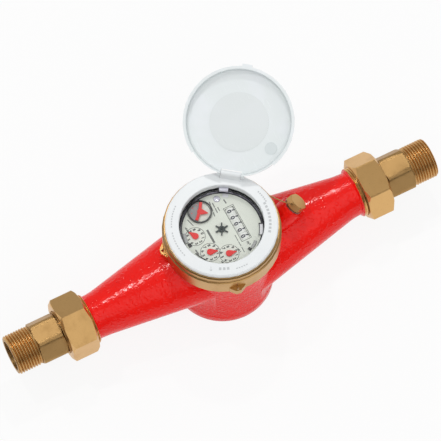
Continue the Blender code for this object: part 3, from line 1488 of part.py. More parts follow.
def give_finish(finish, *things):
    colour, roughness, metallic = FINISHES[finish]
    for thing in things:
        made = bpy.data.materials.new(f"{thing.name}_{finish}")
        made.use_nodes = True
        shader = made.node_tree.nodes["Principled BSDF"]
        shader.inputs["Base Color"].default_value = (*colour, 1.0)
        shader.inputs["Roughness"].default_value = roughness
        shader.inputs["Metallic"].default_value = metallic
        if finish == "clear":
            shader.inputs["Transmission Weight"].default_value = 0.9
        thing.data.materials.clear()
        thing.data.materials.append(made)


def bake_and_smooth():
    """Applies each part's modifiers and shades its round faces smooth."""
    bpy.context.view_layer.update()
    graph = bpy.context.evaluated_depsgraph_get()
    parts = [thing for thing in METER.objects if thing.type == "MESH"]
    baked = {thing: bpy.data.meshes.new_from_object(thing.evaluated_get(graph)) for thing in parts}
    for thing, mesh in baked.items():
        finish = thing.data.materials[0]
        thing.modifiers.clear()
        thing.data = mesh
        mesh.materials.clear()
        mesh.materials.append(finish)
        mesh.shade_smooth()
        mesh.set_sharp_from_angle(angle=math.radians(35))


def main():
    hinge_place = (HINGE_PLACE * math.cos(HINGE_AZIMUTH), HINGE_PLACE * math.sin(HINGE_AZIMUTH), PIN_Z)
    hinge = empty("lid_hinge", hinge_place, (0.0, 0.0, HINGE_AZIMUTH))
    cover, pin = make_cover(hinge)
    lid = make_lid(hinge)
    regulator = make_regulator()
    wheel, magnet, pivot = make_turbine()
    plate, head_gasket = make_plate()
    register_cup, slip_ring = make_register_cup()
    movement, drum_shaft = make_movement()
    dial, bezel, well, window = make_dial()
    star, star_spindle, follower = make_star()
    give_finish("red_paint", make_body())
    give_finish("brass", make_head_ring(), *regulator["brass"])
    give_finish("steel", pin, pivot, drum_shaft, star_spindle, *regulator["steel"], make_wire())
    give_finish("white_plastic", cover, lid, *make_drums())
    give_finish("wet_plastic", make_chamber(), make_chamber_cover(), wheel, plate, register_cup, slip_ring)
    give_finish("wet_plastic", movement, make_strainer())
    give_finish("magnet", magnet, follower)
    give_finish("rubber", head_gasket)
    give_finish("dial_print", dial)
    give_finish("black_plastic", bezel, well, star)
    give_finish("clear", window)
    for pointer, shaft, *disc in make_pointers():
        give_finish("pointer_red", pointer)
        give_finish("steel", shaft)
        give_finish("grey_print", *disc)
    for end, side in (("inlet", 1), ("outlet", -1)):
        nut, tail, gasket = make_union(end, side)
        give_finish("brass", nut, tail)
        give_finish("rubber", gasket)
    bake_and_smooth()


main()
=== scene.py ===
import json
import math

import bmesh
import bpy
import numpy as np
from mathutils import Matrix, Vector


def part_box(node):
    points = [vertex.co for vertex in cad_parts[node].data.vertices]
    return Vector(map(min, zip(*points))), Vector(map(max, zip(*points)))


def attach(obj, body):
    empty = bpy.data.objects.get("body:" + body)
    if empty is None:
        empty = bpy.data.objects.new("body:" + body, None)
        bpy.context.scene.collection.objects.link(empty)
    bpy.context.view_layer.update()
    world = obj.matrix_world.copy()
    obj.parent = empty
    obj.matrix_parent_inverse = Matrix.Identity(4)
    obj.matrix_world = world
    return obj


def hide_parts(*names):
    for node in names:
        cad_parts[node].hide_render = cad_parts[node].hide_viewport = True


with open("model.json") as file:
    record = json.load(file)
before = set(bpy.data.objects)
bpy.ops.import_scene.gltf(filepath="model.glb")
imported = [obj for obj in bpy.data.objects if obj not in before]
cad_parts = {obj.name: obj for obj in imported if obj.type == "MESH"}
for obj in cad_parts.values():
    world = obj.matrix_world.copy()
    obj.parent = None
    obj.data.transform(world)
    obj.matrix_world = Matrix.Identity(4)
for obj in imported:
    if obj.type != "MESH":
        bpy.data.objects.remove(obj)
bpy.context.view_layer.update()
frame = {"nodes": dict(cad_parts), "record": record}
parts = frame["nodes"]
print("frame loaded:", len(parts), "parts")


# Camera and studio

camera = {
    "distance": 3.3217,
    "elevation": 65.9,
    "turn": 26.46,
    "roll": -0.92,
    "focalPixels": 4176.3,
    "imagePixels": 441,
    "slide": (-0.00109, 0.01371),
    "height": 0.075,
}

studio = {
    "floor": (0.90, 0.90, 0.90),
    "floorGlow": 0.88,
    "floorSide": 6.0,
    "distance": 1.7,
    "aim": 0.05,
    "lamps": {  # power, size, turn from the camera, elevation
        "key": (6.4, 1.50, -30.0, 57.0),
        "sparkLeft": (3.6, 0.07, 118.0, 65.0),
        "sparkRight": (3.6, 0.07, 179.0, 58.5),
    },
    "worldLight": 0.56,
    "worldFront": 0.05,
    "worldBack": 0.42,
}


def cameraAxes(turn, elevation, roll):
    # right, up and back of a camera that looks down at the object
    a, e, r = (math.radians(v) for v in (turn, elevation, roll))
    right = Vector((math.cos(a), -math.sin(a), 0))
    forward = Vector((math.sin(a), math.cos(a), 0))
    back = -forward * math.cos(e) + Vector((0, 0, 1)) * math.sin(e)
    up = back.cross(right)
    return right * math.cos(r) + up * math.sin(r), up * math.cos(r) - right * math.sin(r), back


def makeCamera():
    right, up, back = cameraAxes(camera["turn"], camera["elevation"], camera["roll"])
    target = Vector((0, 0, camera["height"])) + right * camera["slide"][0] + up * camera["slide"][1]
    data = bpy.data.cameras.new("photoCamera")
    data.sensor_width = 36
    data.lens = camera["focalPixels"] * data.sensor_width / camera["imagePixels"]
    data.clip_start = 0.05
    data.clip_end = 50
    made = bpy.data.objects.new("photoCamera", data)
    bpy.context.scene.collection.objects.link(made)
    place = target + back * camera["distance"]
    made.matrix_world = Matrix((
        (right.x, up.x, back.x, place.x),
        (right.y, up.y, back.y, place.y),
        (right.z, up.z, back.z, place.z),
        (0, 0, 0, 1),
    ))
    bpy.context.scene.camera = made


def softLamp(name, power, size, distance, turn, elevation):
    back = cameraAxes(camera["turn"] + turn, elevation, 0)[2]
    data = bpy.data.lights.new(name, "AREA")
    data.shape = "SQUARE"
    data.size = size
    data.energy = power
    made = bpy.data.objects.new(name, data)
    made.location = Vector((0, 0, studio["aim"])) + back * distance
    made.rotation_mode = "QUATERNION"
    made.rotation_quaternion = (-back).to_track_quat("-Z", "Y")
    bpy.context.scene.collection.objects.link(made)


# Shader trees

class Signal:
    # a socket of a shader tree; sums and products of signals add Math nodes
    def __init__(self, tree, socket):
        self.tree = tree
        self.socket = socket

    def math(self, operation, first, second):
        return self.tree.node("ShaderNodeMath", {"operation": operation}, {0: first, 1: second})

    def __add__(self, other):
        return self.math("ADD", self, other)

    def __radd__(self, other):
        return self.math("ADD", other, self)

    def __sub__(self, other):
        return self.math("SUBTRACT", self, other)

    def __rsub__(self, other):
        return self.math("SUBTRACT", other, self)

    def __mul__(self, other):
        return self.math("MULTIPLY", self, other)

    def __rmul__(self, other):
        return self.math("MULTIPLY", other, self)

    def __truediv__(self, other):
        return self.math("DIVIDE", self, other)

    def __pow__(self, other):
        return self.math("POWER", self, other)

    def __abs__(self):
        return self.math("ABSOLUTE", self, 0)

    def most(self, other):
        return self.math("MAXIMUM", self, other)

    def least(self, other):
        return self.math("MINIMUM", self, other)

    def step(self, low, high):
        # 0 below low, 1 above high, smooth between
        return self.tree.node(
            "ShaderNodeMapRange",
            {"interpolation_type": "SMOOTHSTEP"},
            {0: self, 1: low, 2: high, 3: 0.0, 4: 1.0},
        )


class Tree:
    # a node tree being filled, for a material or the world
    def __init__(self, owner):
        owner.use_nodes = True
        self.owner = owner
        self.nodes = owner.node_tree.nodes
        self.links = owner.node_tree.links
        self.nodes.clear()

    def node(self, kind, settings, inputs, output=0):
        made = self.nodes.new(kind)
        for key, value in settings.items():
            if key == "stops":
                while len(made.color_ramp.elements) < len(value):
                    made.color_ramp.elements.new(0.5)
                for element, (place, colour) in zip(made.color_ramp.elements, value):
                    element.position = place
                    element.color = (*colour, 1)
            else:
                setattr(made, key, value)
        for key, value in inputs.items():
            if isinstance(value, Signal):
                self.links.new(value.socket, made.inputs[key])
            else:
                made.inputs[key].default_value = value
        return Signal(self, made.outputs[output]) if len(made.outputs) else None

    def colour(self, r, g, b):
        return (r, g, b, 1)

    def mix(self, factor, first, second):
        return self.node("ShaderNodeMix", {"data_type": "RGBA"}, {0: factor, 6: first, 7: second}, 2)

    def place(self):
        return self.node("ShaderNodeTexCoord", {}, {}, 3)

    def axes(self, vector=None):
        split = self.node("ShaderNodeSeparateXYZ", {}, {0: vector or self.place()})
        return [Signal(self, socket) for socket in split.socket.node.outputs]

    def stretched(self, scale, turn=(0, 0, 0)):
        return self.node("ShaderNodeMapping", {}, {0: self.place(), "Rotation": turn, "Scale": scale})

    def noise(self, scale, detail=3.0, roughness=0.5, vector=None, distortion=0.0):
        inputs = {"Scale": scale, "Detail": detail, "Roughness": roughness, "Distortion": distortion}
        inputs["Vector"] = vector or self.place()
        return self.node("ShaderNodeTexNoise", {}, inputs, 0)

    def bump(self, height, strength, distance):
        return self.node("ShaderNodeBump", {}, {"Strength": strength, "Distance": distance, "Height": height})

    def surface(self, **sockets):
        names = {key: key for key in ("Roughness", "Metallic", "Normal", "Alpha", "IOR")}
        inputs = {names.get(key, key.replace("_", " ")): value for key, value in sockets.items()}
        shader = self.node("ShaderNodeBsdfPrincipled", {}, inputs)
        return self.close(shader)

    def close(self, shader):
        self.node("ShaderNodeOutputMaterial", {}, {0: shader})
        return self.owner


def newFinish(name):
    return Tree(bpy.data.materials.new(name))


def dress(material, *names):
    for name in names:
        slots = parts[name].data.materials
        slots.clear()
        slots.append(material)


def makeWorld():
    world = bpy.data.worlds.new("paleRoom")
    bpy.context.scene.world = world
    tree = Tree(world)
    back = cameraAxes(camera["turn"], 0, 0)[2]
    along = tree.node("ShaderNodeTexCoord", {}, {}, 0)
    depth = tree.node("ShaderNodeVectorMath", {"operation": "DOT_PRODUCT"}, {0: along, 1: tuple(-back)}, 1)
    front, rear = studio["worldFront"], studio["worldBack"]
    mirrored = depth.step(-0.75, 0.45) * (rear - front) + front
    rays = tree.node("ShaderNodeLightPath", {}, {}).socket.node.outputs
    seen = Signal(tree, rays["Is Camera Ray"])
    glossy = Signal(tree, rays["Is Glossy Ray"])
    plain = studio["worldLight"] * (1 - glossy) + mirrored * glossy
    strength = plain * (1 - seen) + seen
    lit = tree.node("ShaderNodeBackground", {}, {"Color": (1, 1, 1, 1), "Strength": strength})
    tree.node("ShaderNodeOutputWorld", {}, {0: lit})


def makeFloor():
    side = studio["floorSide"]
    corners = [(-side, -side, 0), (side, -side, 0), (side, side, 0), (-side, side, 0)]
    mesh = bpy.data.meshes.new("floor")
    mesh.from_pydata(corners, [], [(0, 1, 2, 3)])
    made = bpy.data.objects.new("floor", mesh)
    bpy.context.scene.collection.objects.link(made)
    tree = newFinish("paleFloor")
    rays = tree.node("ShaderNodeLightPath", {}, {}).socket.node.outputs
    seen = Signal(tree, rays["Is Camera Ray"])
    mirrored = Signal(tree, rays["Is Glossy Ray"])
    through = Signal(tree, rays["Is Transmission Ray"])
    glow = seen.most(mirrored).most(through) * studio["floorGlow"]
    matt = tree.node("ShaderNodeBsdfDiffuse", {}, {"Color": tree.colour(*studio["floor"])})
    white = tree.node("ShaderNodeEmission", {}, {"Color": (1, 1, 1, 1), "Strength": 1.0})
    mesh.materials.append(tree.close(tree.node("ShaderNodeMixShader", {}, {0: glow, 1: matt, 2: white})))


makeCamera()
makeWorld()
makeFloor()
for lamp, (power, size, turn, elevation) in studio["lamps"].items():
    softLamp(lamp, power, size, studio["distance"], turn, elevation)
bpy.context.scene.view_settings.view_transform = "Standard"
print("camera and studio ready")


# Copies of modelled parts

bodies = frame["record"]["behaviour"]["bodies"]
bodyOf = {node: body for body, nodes in bodies.items() for node in nodes}


def mergedMesh(node, angle):
    # a copy of a modelled part's mesh, its loose triangles joined and shaded smooth up to an angle
    mesh = parts[node].data.copy()
    if "custom_normal" in mesh.attributes:
        mesh.attributes.remove(mesh.attributes["custom_normal"])
    shape = bmesh.new()
    shape.from_mesh(mesh)
    bmesh.ops.remove_doubles(shape, verts=shape.verts, dist=0.000002)
    shape.to_mesh(mesh)
    shape.free()
    mesh.shade_smooth()
    mesh.set_sharp_from_angle(angle=math.radians(angle))
    return mesh


def standIn(made, node):
    # the piece is shown instead of a modelled part
    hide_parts(node)


def placed(name, mesh, node):
    # a mesh as a piece that stands for a modelled part and moves as it does
    made = bpy.data.objects.new(name, mesh)
    bpy.context.scene.collection.objects.link(made)
    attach(made, bodyOf[node])
    standIn(made, node)


def smoothed(angle, **copies):
    # each name gets a merged copy of its node, in the node's own material
    for name, node in copies.items():
        placed(name, mergedMesh(node, angle), node)


# Surfaces from arrays

def addPiece(name, points, faces, material, body, smooth=True):
    mesh = bpy.data.meshes.new(name)
    mesh.from_pydata(points, [], faces)
    mesh.materials.append(material)
    if smooth:
        mesh.shade_smooth()
        mesh.set_sharp_from_angle(angle=math.radians(38))
    made = bpy.data.objects.new(name, mesh)
    bpy.context.scene.collection.objects.link(made)
    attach(made, body)
    return made


def gridFaces(rows, columns, wrapRows, wrapColumns):
    # one four-sided face for each cell of a grid of points kept row by row
    i = np.arange(rows if wrapRows else rows - 1)[:, None]
    j = np.arange(columns if wrapColumns else columns - 1)[None, :]
    a = i * columns + j
    b = i * columns + (j + 1) % columns
    c = ((i + 1) % rows) * columns + (j + 1) % columns
    d = ((i + 1) % rows) * columns + j
    return np.stack([a, b, c, d], axis=-1).reshape(-1, 4)


def revolved(profile, steps, centre=(0, 0)):
    # a closed profile of (radius, height) carried round the upright line through centre
    profile = np.asarray(profile, float)
    turn = np.linspace(0, 2 * np.pi, steps, endpoint=False)[:, None]
    x = centre[0] + profile[:, 0] * np.cos(turn)
    y = centre[1] + profile[:, 0] * np.sin(turn)
    z = np.broadcast_to(profile[:, 1], x.shape)
    return np.stack([x, y, z], axis=-1).reshape(-1, 3), gridFaces(steps, len(profile), True, True)


def ringBand(inner, outer, low, high):
    # the four corners of a flat ring's section, so that its faces point outwards
    return [(inner, low), (outer, low), (outer, high), (inner, high)]


def joined(pieces):
    # several point and face arrays as one
    points, faces, start = [], [], 0
    for somePoints, someFaces in pieces:
        points.append(np.asarray(somePoints, float))
        faces += [tuple(int(k) + start for k in face) for face in someFaces]
        start += len(somePoints)
    return np.concatenate(points), faces


# Brass

brass = {
    "colour": (0.80, 0.485, 0.190),
    "shade": (0.50, 0.270, 0.085),
    "roughness": 0.31,
    "acrossMarks": 2600,
    "alongMarks": 60,
    "tarnish": 0.38,
    "pits": 0.35,
    "markHeight": 0.00002,
}


def brassFinish(name, tone=1.0, along=(1, 0, 0), rough=0.0, marked=0.30):
    # satin brass: fine tool marks across one direction, cloudy tarnish and small pits
    tree = newFinish(name)
    cloud = tree.noise(55, 4, 0.6)
    speck = tree.noise(900, 2, 0.5).step(0.62, 0.72)
    stretch = tuple(brass["acrossMarks"] if a else brass["alongMarks"] for a in along)
    marks = tree.noise(1.0, 2, 0.6, tree.stretched(stretch))
    bright = tree.colour(*(tone * c for c in brass["colour"]))
    dull = tree.colour(*(tone * c for c in brass["shade"]))
    tarnish = cloud.step(0.48, 0.78) * brass["tarnish"]
    colour = tree.mix(tarnish.most(speck * brass["pits"]), bright, dull)
    roughness = (cloud - 0.5) * 0.14 + (marks - 0.5) * 0.12 + (brass["roughness"] + rough)
    normal = tree.bump(marks + speck * 0.4, marked, brass["markHeight"])
    return tree.surface(Base_Color=colour, Metallic=1.0, Roughness=roughness, Normal=normal)


brassNut = brassFinish("brassNut", 0.90, (1, 0, 0), 0.02)
brassRing = brassFinish("brassRing", 0.74, (0, 0, 1), 0.05)
brassPlug = brassFinish("brassPlug", 0.82, (1, 1, 1), 0.08)
brassTail = brassFinish("brassTail", 0.62, (1, 1, 1), 0.14)
brassThread = brassFinish("brassThread", 0.86, (1, 1, 1), 0.14, 0.0)
dress(brassNut, "union_nut_inlet", "union_nut_outlet")
dress(brassTail, "tail_piece_inlet", "tail_piece_outlet")
dress(brassRing, "head_ring")
dress(brassPlug, "regulator_plug", "regulating_screw", "seal_wire")


# Painted casting

casting = {
    "paint": (0.96, 0.010, 0.006),
    "deep": (0.80, 0.006, 0.005),
    "dust": (0.82, 0.22, 0.20),
    "roughness": 0.17,
    "bareRoughness": 0.34,
    "gloss": 0.30,
    "lumpScale": 42,
    "peelScale": 400,
    "pimpleScale": 360,
    "gritScale": 1500,
    "lumps": 0.9,
    "peel": 0.36,
    "pimples": 0.34,
    "bumpHeight": 0.0006,
    "wayRadius": 0.0145,
    "wayOffset": 0.0155,
    "wayFlatter": 0.004,
    "wayWider": 0.006,
    "passageStart": 0.038,
    "passageEnd": 0.112,
    "paintEnds": 0.1192,
    "pipeHeight": 0.040,
    "cupInside": 0.0388,
    "floorInside": 0.004,
}


def paintedCasting():
    tree = newFinish("paintedCasting")
    x, y, z = tree.axes()
    reach = abs(x)
    wobble = (tree.noise(260, 2) - 0.5) * 0.0012
    ends = (reach + wobble).step(casting["paintEnds"], casting["paintEnds"] + 0.0003)
    wall, floor = casting["cupInside"], casting["floorInside"]
    within = 1 - ((x * x + y * y) ** 0.5).step(wall, wall + 0.0004)
    cup = within * z.step(floor, floor + 0.0005)
    # the water's way is an oval that narrows and comes down, or up, to the pipe's axis along each arm
    span = casting["passageEnd"] - casting["passageStart"]
    share = ((casting["passageEnd"] - reach) / span).most(0).least(1)
    side = x.step(-0.0001, 0.0001) * 2 - 1
    drop = z - casting["pipeHeight"] + side * share * casting["wayOffset"]
    tall = casting["wayRadius"] - share * casting["wayFlatter"]
    wide = share * casting["wayWider"] + casting["wayRadius"]
    oval = ((drop / tall) ** 2 + (y / wide) ** 2) ** 0.5
    way = 1 - oval.step(1.0, 1.03)
    metal = ends.most(cup).most(way)

    paint, deep, dust = (tree.colour(*casting[key]) for key in ("paint", "deep", "dust"))
    bright, dull = (tree.colour(*brass[key]) for key in ("colour", "shade"))
    lumps = tree.noise(casting["lumpScale"], 3, 0.55)
    peel = tree.noise(casting["peelScale"], 1, 0.5)
    grit = tree.noise(casting["gritScale"], 1, 0.5)
    red = tree.mix(lumps.step(0.35, 0.75) * 0.30, paint, deep)
    red = tree.mix(grit.step(0.66, 0.80) * 0.10, red, dust)
    bare = tree.mix(peel.step(0.4, 0.7) * 0.5, bright, dull)
    colour = tree.mix(metal, red, bare)
    pimples = tree.noise(casting["pimpleScale"], 0, 0.5).step(0.55, 0.72)
    height = lumps * casting["lumps"] + peel * casting["peel"] + pimples * casting["pimples"]
    normal = tree.bump(height * (1 - metal), 0.9, casting["bumpHeight"])
    painted = (lumps - 0.5) * 0.06 + casting["roughness"]
    roughness = painted * (1 - metal) + metal * casting["bareRoughness"]
    return tree.surface(
        Base_Color=colour,
        Metallic=metal,
        Roughness=roughness,
        Specular_IOR_Level=casting["gloss"],
        Normal=normal,
    )


redPaint = paintedCasting()


# Plastics, rubber, steel and the rest

plastic = {
    "cover": (0.86, 0.885, 0.895),
    "coverShade": (0.80, 0.835, 0.855),
    "wet": (0.74, 0.73, 0.68),
    "black": (0.018, 0.018, 0.020),
    "star": (0.010, 0.022, 0.020),
    "red": (0.84, 0.010, 0.008),
    "disc": (0.33, 0.33, 0.33),
    "drum": (0.90, 0.92, 0.88),
    "rubber": (0.02, 0.02, 0.02),
    "rubberDust": (0.05, 0.05, 0.05),
    "magnet": (0.10, 0.10, 0.11),
    "magnetDust": (0.16, 0.16, 0.16),
    "lilac": (0.66, 0.66, 0.74),
    "lilacShade": (0.42, 0.42, 0.52),
    "clip": (0.92, 0.92, 0.95),
    "clipShade": (0.80, 0.80, 0.86),
    "wedge": (0.40, 0.41, 0.40),
    "wedgeShade": (0.56, 0.57, 0.56),
}


def mouldedFinish(name, colour, shade, roughness, scale=120, grain=0.00002, coat=0.0):
    # a moulded part: faint flow clouds, a fine skin texture and handled patches that shine more
    tree = newFinish(name)
    flow = tree.noise(scale, 3, 0.55, None, 0.4)
    skin = tree.noise(2400, 2, 0.5)
    handled = tree.noise(30, 2, 0.5)
    tone = tree.mix(flow.step(0.40, 0.75) * 0.35, tree.colour(*colour), tree.colour(*shade))
    rough = (handled - 0.5) * 0.12 + (skin - 0.5) * 0.06 + roughness
    normal = tree.bump(skin + flow * 0.5, 0.35, grain)
    return tree.surface(Base_Color=tone, Roughness=rough, Normal=normal, Coat_Weight=coat)


def plainPlastic(name, key, share, roughness):
    # a moulded part whose clouds are its own colour, darker or paler by a share
    colour = plastic[key]
    return mouldedFinish(name, colour, tuple(c * share for c in colour), roughness)


whiteCover = mouldedFinish("whiteCover", plastic["cover"], plastic["coverShade"], 0.30, scale=90, coat=0.15)
wetPlastic = plainPlastic("wetPlastic", "wet", 0.85, 0.46)
blackPlastic = plainPlastic("blackPlastic", "black", 1.8, 0.34)
starPlastic = plainPlastic("starPlastic", "star", 1.8, 0.32)
redPointer = plainPlastic("redPointer", "red", 0.85, 0.38)
greyDisc = plainPlastic("greyDisc", "disc", 0.9, 0.5)
drumWhite = plainPlastic("drumWhite", "drum", 0.93, 0.5)
rubber = mouldedFinish("rubberSeal", plastic["rubber"], plastic["rubberDust"], 0.75, 200, 0.00005)
magnetBlock = mouldedFinish("magnetBlock", plastic["magnet"], plastic["magnetDust"], 0.5, 300, 0.00004)
clearLilac = mouldedFinish("clearLilac", plastic["lilac"], plastic["lilacShade"], 0.16, 380, 0.0001, 0.5)
clipWhite = mouldedFinish("clipWhite", plastic["clip"], plastic["clipShade"], 0.25, 300, 0.0001, 0.4)
wedgeGrey = mouldedFinish("wedgeGrey", plastic["wedge"], plastic["wedgeShade"], 0.30, 420, 0.0001, 0.3)

steelLook = {
    "bright": (0.58, 0.58, 0.60),
    "dull": (0.42, 0.42, 0.43),
    "roughness": 0.22,
}


def steelFinish(name):
    tree = newFinish(name)
    scratches = tree.noise(1.0, 2, 0.6, tree.stretched((300, 300, 4000)))
    cloud = tree.noise(150, 3, 0.5)
    bright, dull = (tree.colour(*steelLook[key]) for key in ("bright", "dull"))
    colour = tree.mix(cloud.step(0.4, 0.7), bright, dull)
    roughness = scratches * 0.2 + steelLook["roughness"]
    normal = tree.bump(scratches, 0.3, 0.00001)
    return tree.surface(Base_Color=colour, Metallic=1.0, Roughness=roughness, Normal=normal)


clearLook = {
    "tint": (0.92, 0.95, 0.95),
    "refraction": 1.45,
    "share": 0.28,
    "smear": 0.006,
    "roughness": 0.04,
}


def clearFinish(name):
    # a clear cover: a mirror that shows only a share of what glass reflects, with the rest let through
    tree = newFinish(name)
    gloss = tree.node("ShaderNodeFresnel", {}, {"IOR": clearLook["refraction"]})
    smear = tree.noise(60, 3, 0.6).step(0.45, 0.8) * clearLook["smear"]
    return tree.surface(
        Base_Color=tree.colour(*clearLook["tint"]),
        Metallic=1.0,
        Roughness=clearLook["roughness"],
        Alpha=gloss * clearLook["share"] + smear,
    )


lidPlace = {
    "hinge": (0.0418, 52.7, 0.1066),  # reach, turn in degrees and height
    "open": 155.0,
    "ceiling": 0.0016,
    "pad": 0.0236,
    "wall": (0.0404, 0.0418, 0.0421, 0.0423),  # radii where the shade of the wall comes and goes
    "mark": (0.0329, -59.2, 0.0050),  # reach, turn in degrees and radius
    "clear": (0.86, 0.905, 0.91),
    "dense": (0.79, 0.83, 0.83),
    # edge: the round mark's colour, and also the colour of the painted shade on the inner wall
    "edge": (0.60, 0.665, 0.675),
    # the paler tone painted as soft glare in random patches
    "hazeAndGlare": (0.91, 0.94, 0.975),
}


def lidFrame():
    # the lid's middle, its axis and the middle of its round mark, from the hinge and how far it is open
    reach, azimuth, height = lidPlace["hinge"]
    outward = Matrix.Rotation(math.radians(azimuth), 3, "Z")
    turn = outward @ Matrix.Rotation(math.radians(lidPlace["open"]), 3, "Y")
    hinge = outward @ Vector((reach, 0, 0)) + Vector((0, 0, height))
    far, angle = lidPlace["mark"][0], math.radians(lidPlace["mark"][1])
    spot = Vector((far * math.cos(angle), far * math.sin(angle), 0))
    middle = hinge + turn @ Vector((-reach, 0, lidPlace["ceiling"]))
    return middle, turn @ Vector((0, 0, 1)), middle + turn @ spot


def lidFinish():
    # the cover's plastic, a little clearer: a flat pad in the middle, a round mark, random hazy patches
    # painted paler as soft glare, and a grey band of painted shade on the inner wall; the distance from the
    # lid's axis is sqrt(reach^2 - height^2), reach and height from the lid's middle
    middle, axis, spot = lidFrame()
    tree = newFinish("paleLid")
    place = tree.place()
    toward = tree.node("ShaderNodeVectorMath", {"operation": "SUBTRACT"}, {0: place, 1: tuple(middle)})
    height = tree.node("ShaderNodeVectorMath", {"operation": "DOT_PRODUCT"}, {0: toward, 1: tuple(axis)}, 1)
    reach = tree.node("ShaderNodeVectorMath", {"operation": "LENGTH"}, {0: toward}, 1)
    radius = (reach * reach - height * height).most(0) ** 0.5
    far = tree.node("ShaderNodeVectorMath", {"operation": "DISTANCE"}, {0: place, 1: tuple(spot)}, 1)
    size, padRadius, (rise, full, fall, gone) = lidPlace["mark"][2], lidPlace["pad"], lidPlace["wall"]
    marked = 1 - far.step(size - 0.0002, size + 0.0002)
    pad = 1 - radius.step(padRadius - 0.0001, padRadius + 0.0004)
    wall = radius.step(rise, full) * (1 - radius.step(fall, gone))
    # random patches: painted paler as soft glare, and the same patches also bump the surface and make it
    # glossier
    hazeAndGlare = tree.noise(38, 2, 0.5, None, 0.6).step(0.40, 0.70)
    scuff = tree.noise(1.0, 3, 0.6, tree.stretched((1500, 90, 90), (0.4, 0.2, 0.7))).step(0.58, 0.80)
    clear, dense, edge, glareTone = (tree.colour(*lidPlace[key]) for key in ("clear", "dense", "edge", "hazeAndGlare"))
    tone = tree.mix(hazeAndGlare * 0.55, clear, glareTone)
    tone = tree.mix(pad * 0.65, tone, dense)
    tone = tree.mix(marked * 0.45, tone, edge)
    # painted shade: a grey band on the curve of the lid's inner wall
    tone = tree.mix(wall * 0.60, tone, edge)
    normal = tree.bump(scuff * 0.4 + hazeAndGlare, 0.25, 0.00005)
    return tree.surface(Base_Color=tone, Roughness=0.26 + scuff * 0.12 - hazeAndGlare * 0.05, Normal=normal)


steel = steelFinish("brightSteel")
dress(whiteCover, "cover_ring")
dress(lidFinish(), "lid")
dress(wetPlastic, "measuring_chamber", "chamber_cover", "turbine_wheel", "pressure_plate", "register_cup")
dress(wetPlastic, "slip_ring", "movement_plate", "inlet_strainer")
dress(blackPlastic, "dial_bezel", "well_ring")
dress(starPlastic, "star_wheel")
dress(redPointer, "pointer_1", "pointer_2", "pointer_3", "pointer_4")
dress(greyDisc, "pulse_disc")
dress(drumWhite, *(f"number_drum_{n}" for n in range(1, 6)))
dress(rubber, "head_gasket", "tail_gasket_inlet", "tail_gasket_outlet")
dress(magnetBlock, "drive_magnet", "follower_magnet")
dress(steel, "hinge_pin", "turbine_pivot", "drum_shaft", "star_spindle", "regulator_washer")
dress(steel, *(f"pointer_spindle_{n}" for n in range(1, 5)))
dress(clearFinish("clearWindow"), "register_window")
smoothed(34, headRing="head_ring", washer="regulator_washer", pressurePlate="pressure_plate")
smoothed(30, coverRing="cover_ring", lidShell="lid", wire="seal_wire")
smoothed(30, bezel="dial_bezel", wellWall="well_ring", pulseDisc="pulse_disc")
print("finishes on the modelled parts")


# The casting, turned and lofted finely

cup = {
    # (radius, height) from the top down
    "outside": [(0.0, 0.088), (0.0428, 0.088), (0.0434, 0.0877), (0.0436, 0.0872), (0.0436, 0.0746),
                (0.0420, 0.073), (0.0411, 0.0105), (0.0414, 0.0097), (0.0416, 0.0090), (0.0416, 0.0026),
                (0.0412, 0.0012), (0.0404, 0.0004), (0.0391, 0.0), (0.0, 0.0)],
    "inside": [(0.0, 0.089), (0.0385, 0.089), (0.0385, 0.069), (0.0365, 0.069), (0.0365, 0.043),
               (0.029, 0.043), (0.029, 0.038), (0.0365, 0.038), (0.0365, 0.008), (0.0356, 0.0059),
               (0.0335, 0.005), (0.0, 0.005)],
    "steps": 180,
}
arm = {
    "innerEnd": 0.016,
    "wide": 0.040,
    "neck": 0.112,
    "blend": 0.006,
    "neckRadius": 0.0185,
    "shoulder": 0.0012,
    "threadRadius": 0.02095,
    "threadStart": 0.1195,
    "threadPitch": 0.0023,
    "threadDepth": 0.0008,
    "threadFade": 0.0008,
    "threadSteps": 64,
    "end": 0.130,
    "edge": 0.0008,
    "steps": 144,
    # side, half width, half height and how far the middle stands off the pipe's height
    "inlet": (1, 0.0335, 0.0245, -0.0065),
    "outlet": (-1, 0.0315, 0.0240, 0.0095),
}
passage = {
    "mouth": 0.038,
    "reach": 0.010,
    "wide": 0.020,
    "tall": 0.010,
    "bore": 0.014,
    "steps": 72,
}
boss = {
    "end": (0.0637, 0.0, 0.070),
    "lean": 45.0,
    "outside": [(0.0, 0.0), (0.0092, 0.0), (0.0098, -0.0002), (0.0100, -0.0008), (0.0108, -0.026),
                (0.0, -0.026)],
    "inside": [(0.0, 0.001), (0.0063, 0.001), (0.0063, -0.009), (0.0042, -0.009), (0.0042, -0.024),
               (0.0, -0.024)],
    "steps": (72, 48),
    "bypass": 0.0025,
    "bypassEnd": 0.0345,
    "bypassSteps": 24,
    "seat": (0.04673, 0.05303),
}


def solid(name, points, faces):
    # a closed shape to be joined to the casting or cut from it
    mesh = bpy.data.meshes.new(name)
    mesh.from_pydata(points, [], faces)
    shape = bmesh.new()
    shape.from_mesh(mesh)
    bmesh.ops.remove_doubles(shape, verts=shape.verts, dist=0.0000005)
    bmesh.ops.dissolve_degenerate(shape, edges=shape.edges, dist=0.0000001)
    bmesh.ops.recalc_face_normals(shape, faces=shape.faces)
    shape.to_mesh(mesh)
    shape.free()
    made = bpy.data.objects.new(name, mesh)
    bpy.context.scene.collection.objects.link(made)
    return made


def turnedSolid(name, profile, steps, lean=0.0, place=(0, 0, 0)):
    points, faces = revolved(profile, steps)
    turn = np.array(Matrix.Rotation(math.radians(lean), 3, "Y"))
    return solid(name, points @ turn.T + np.array(place), faces)


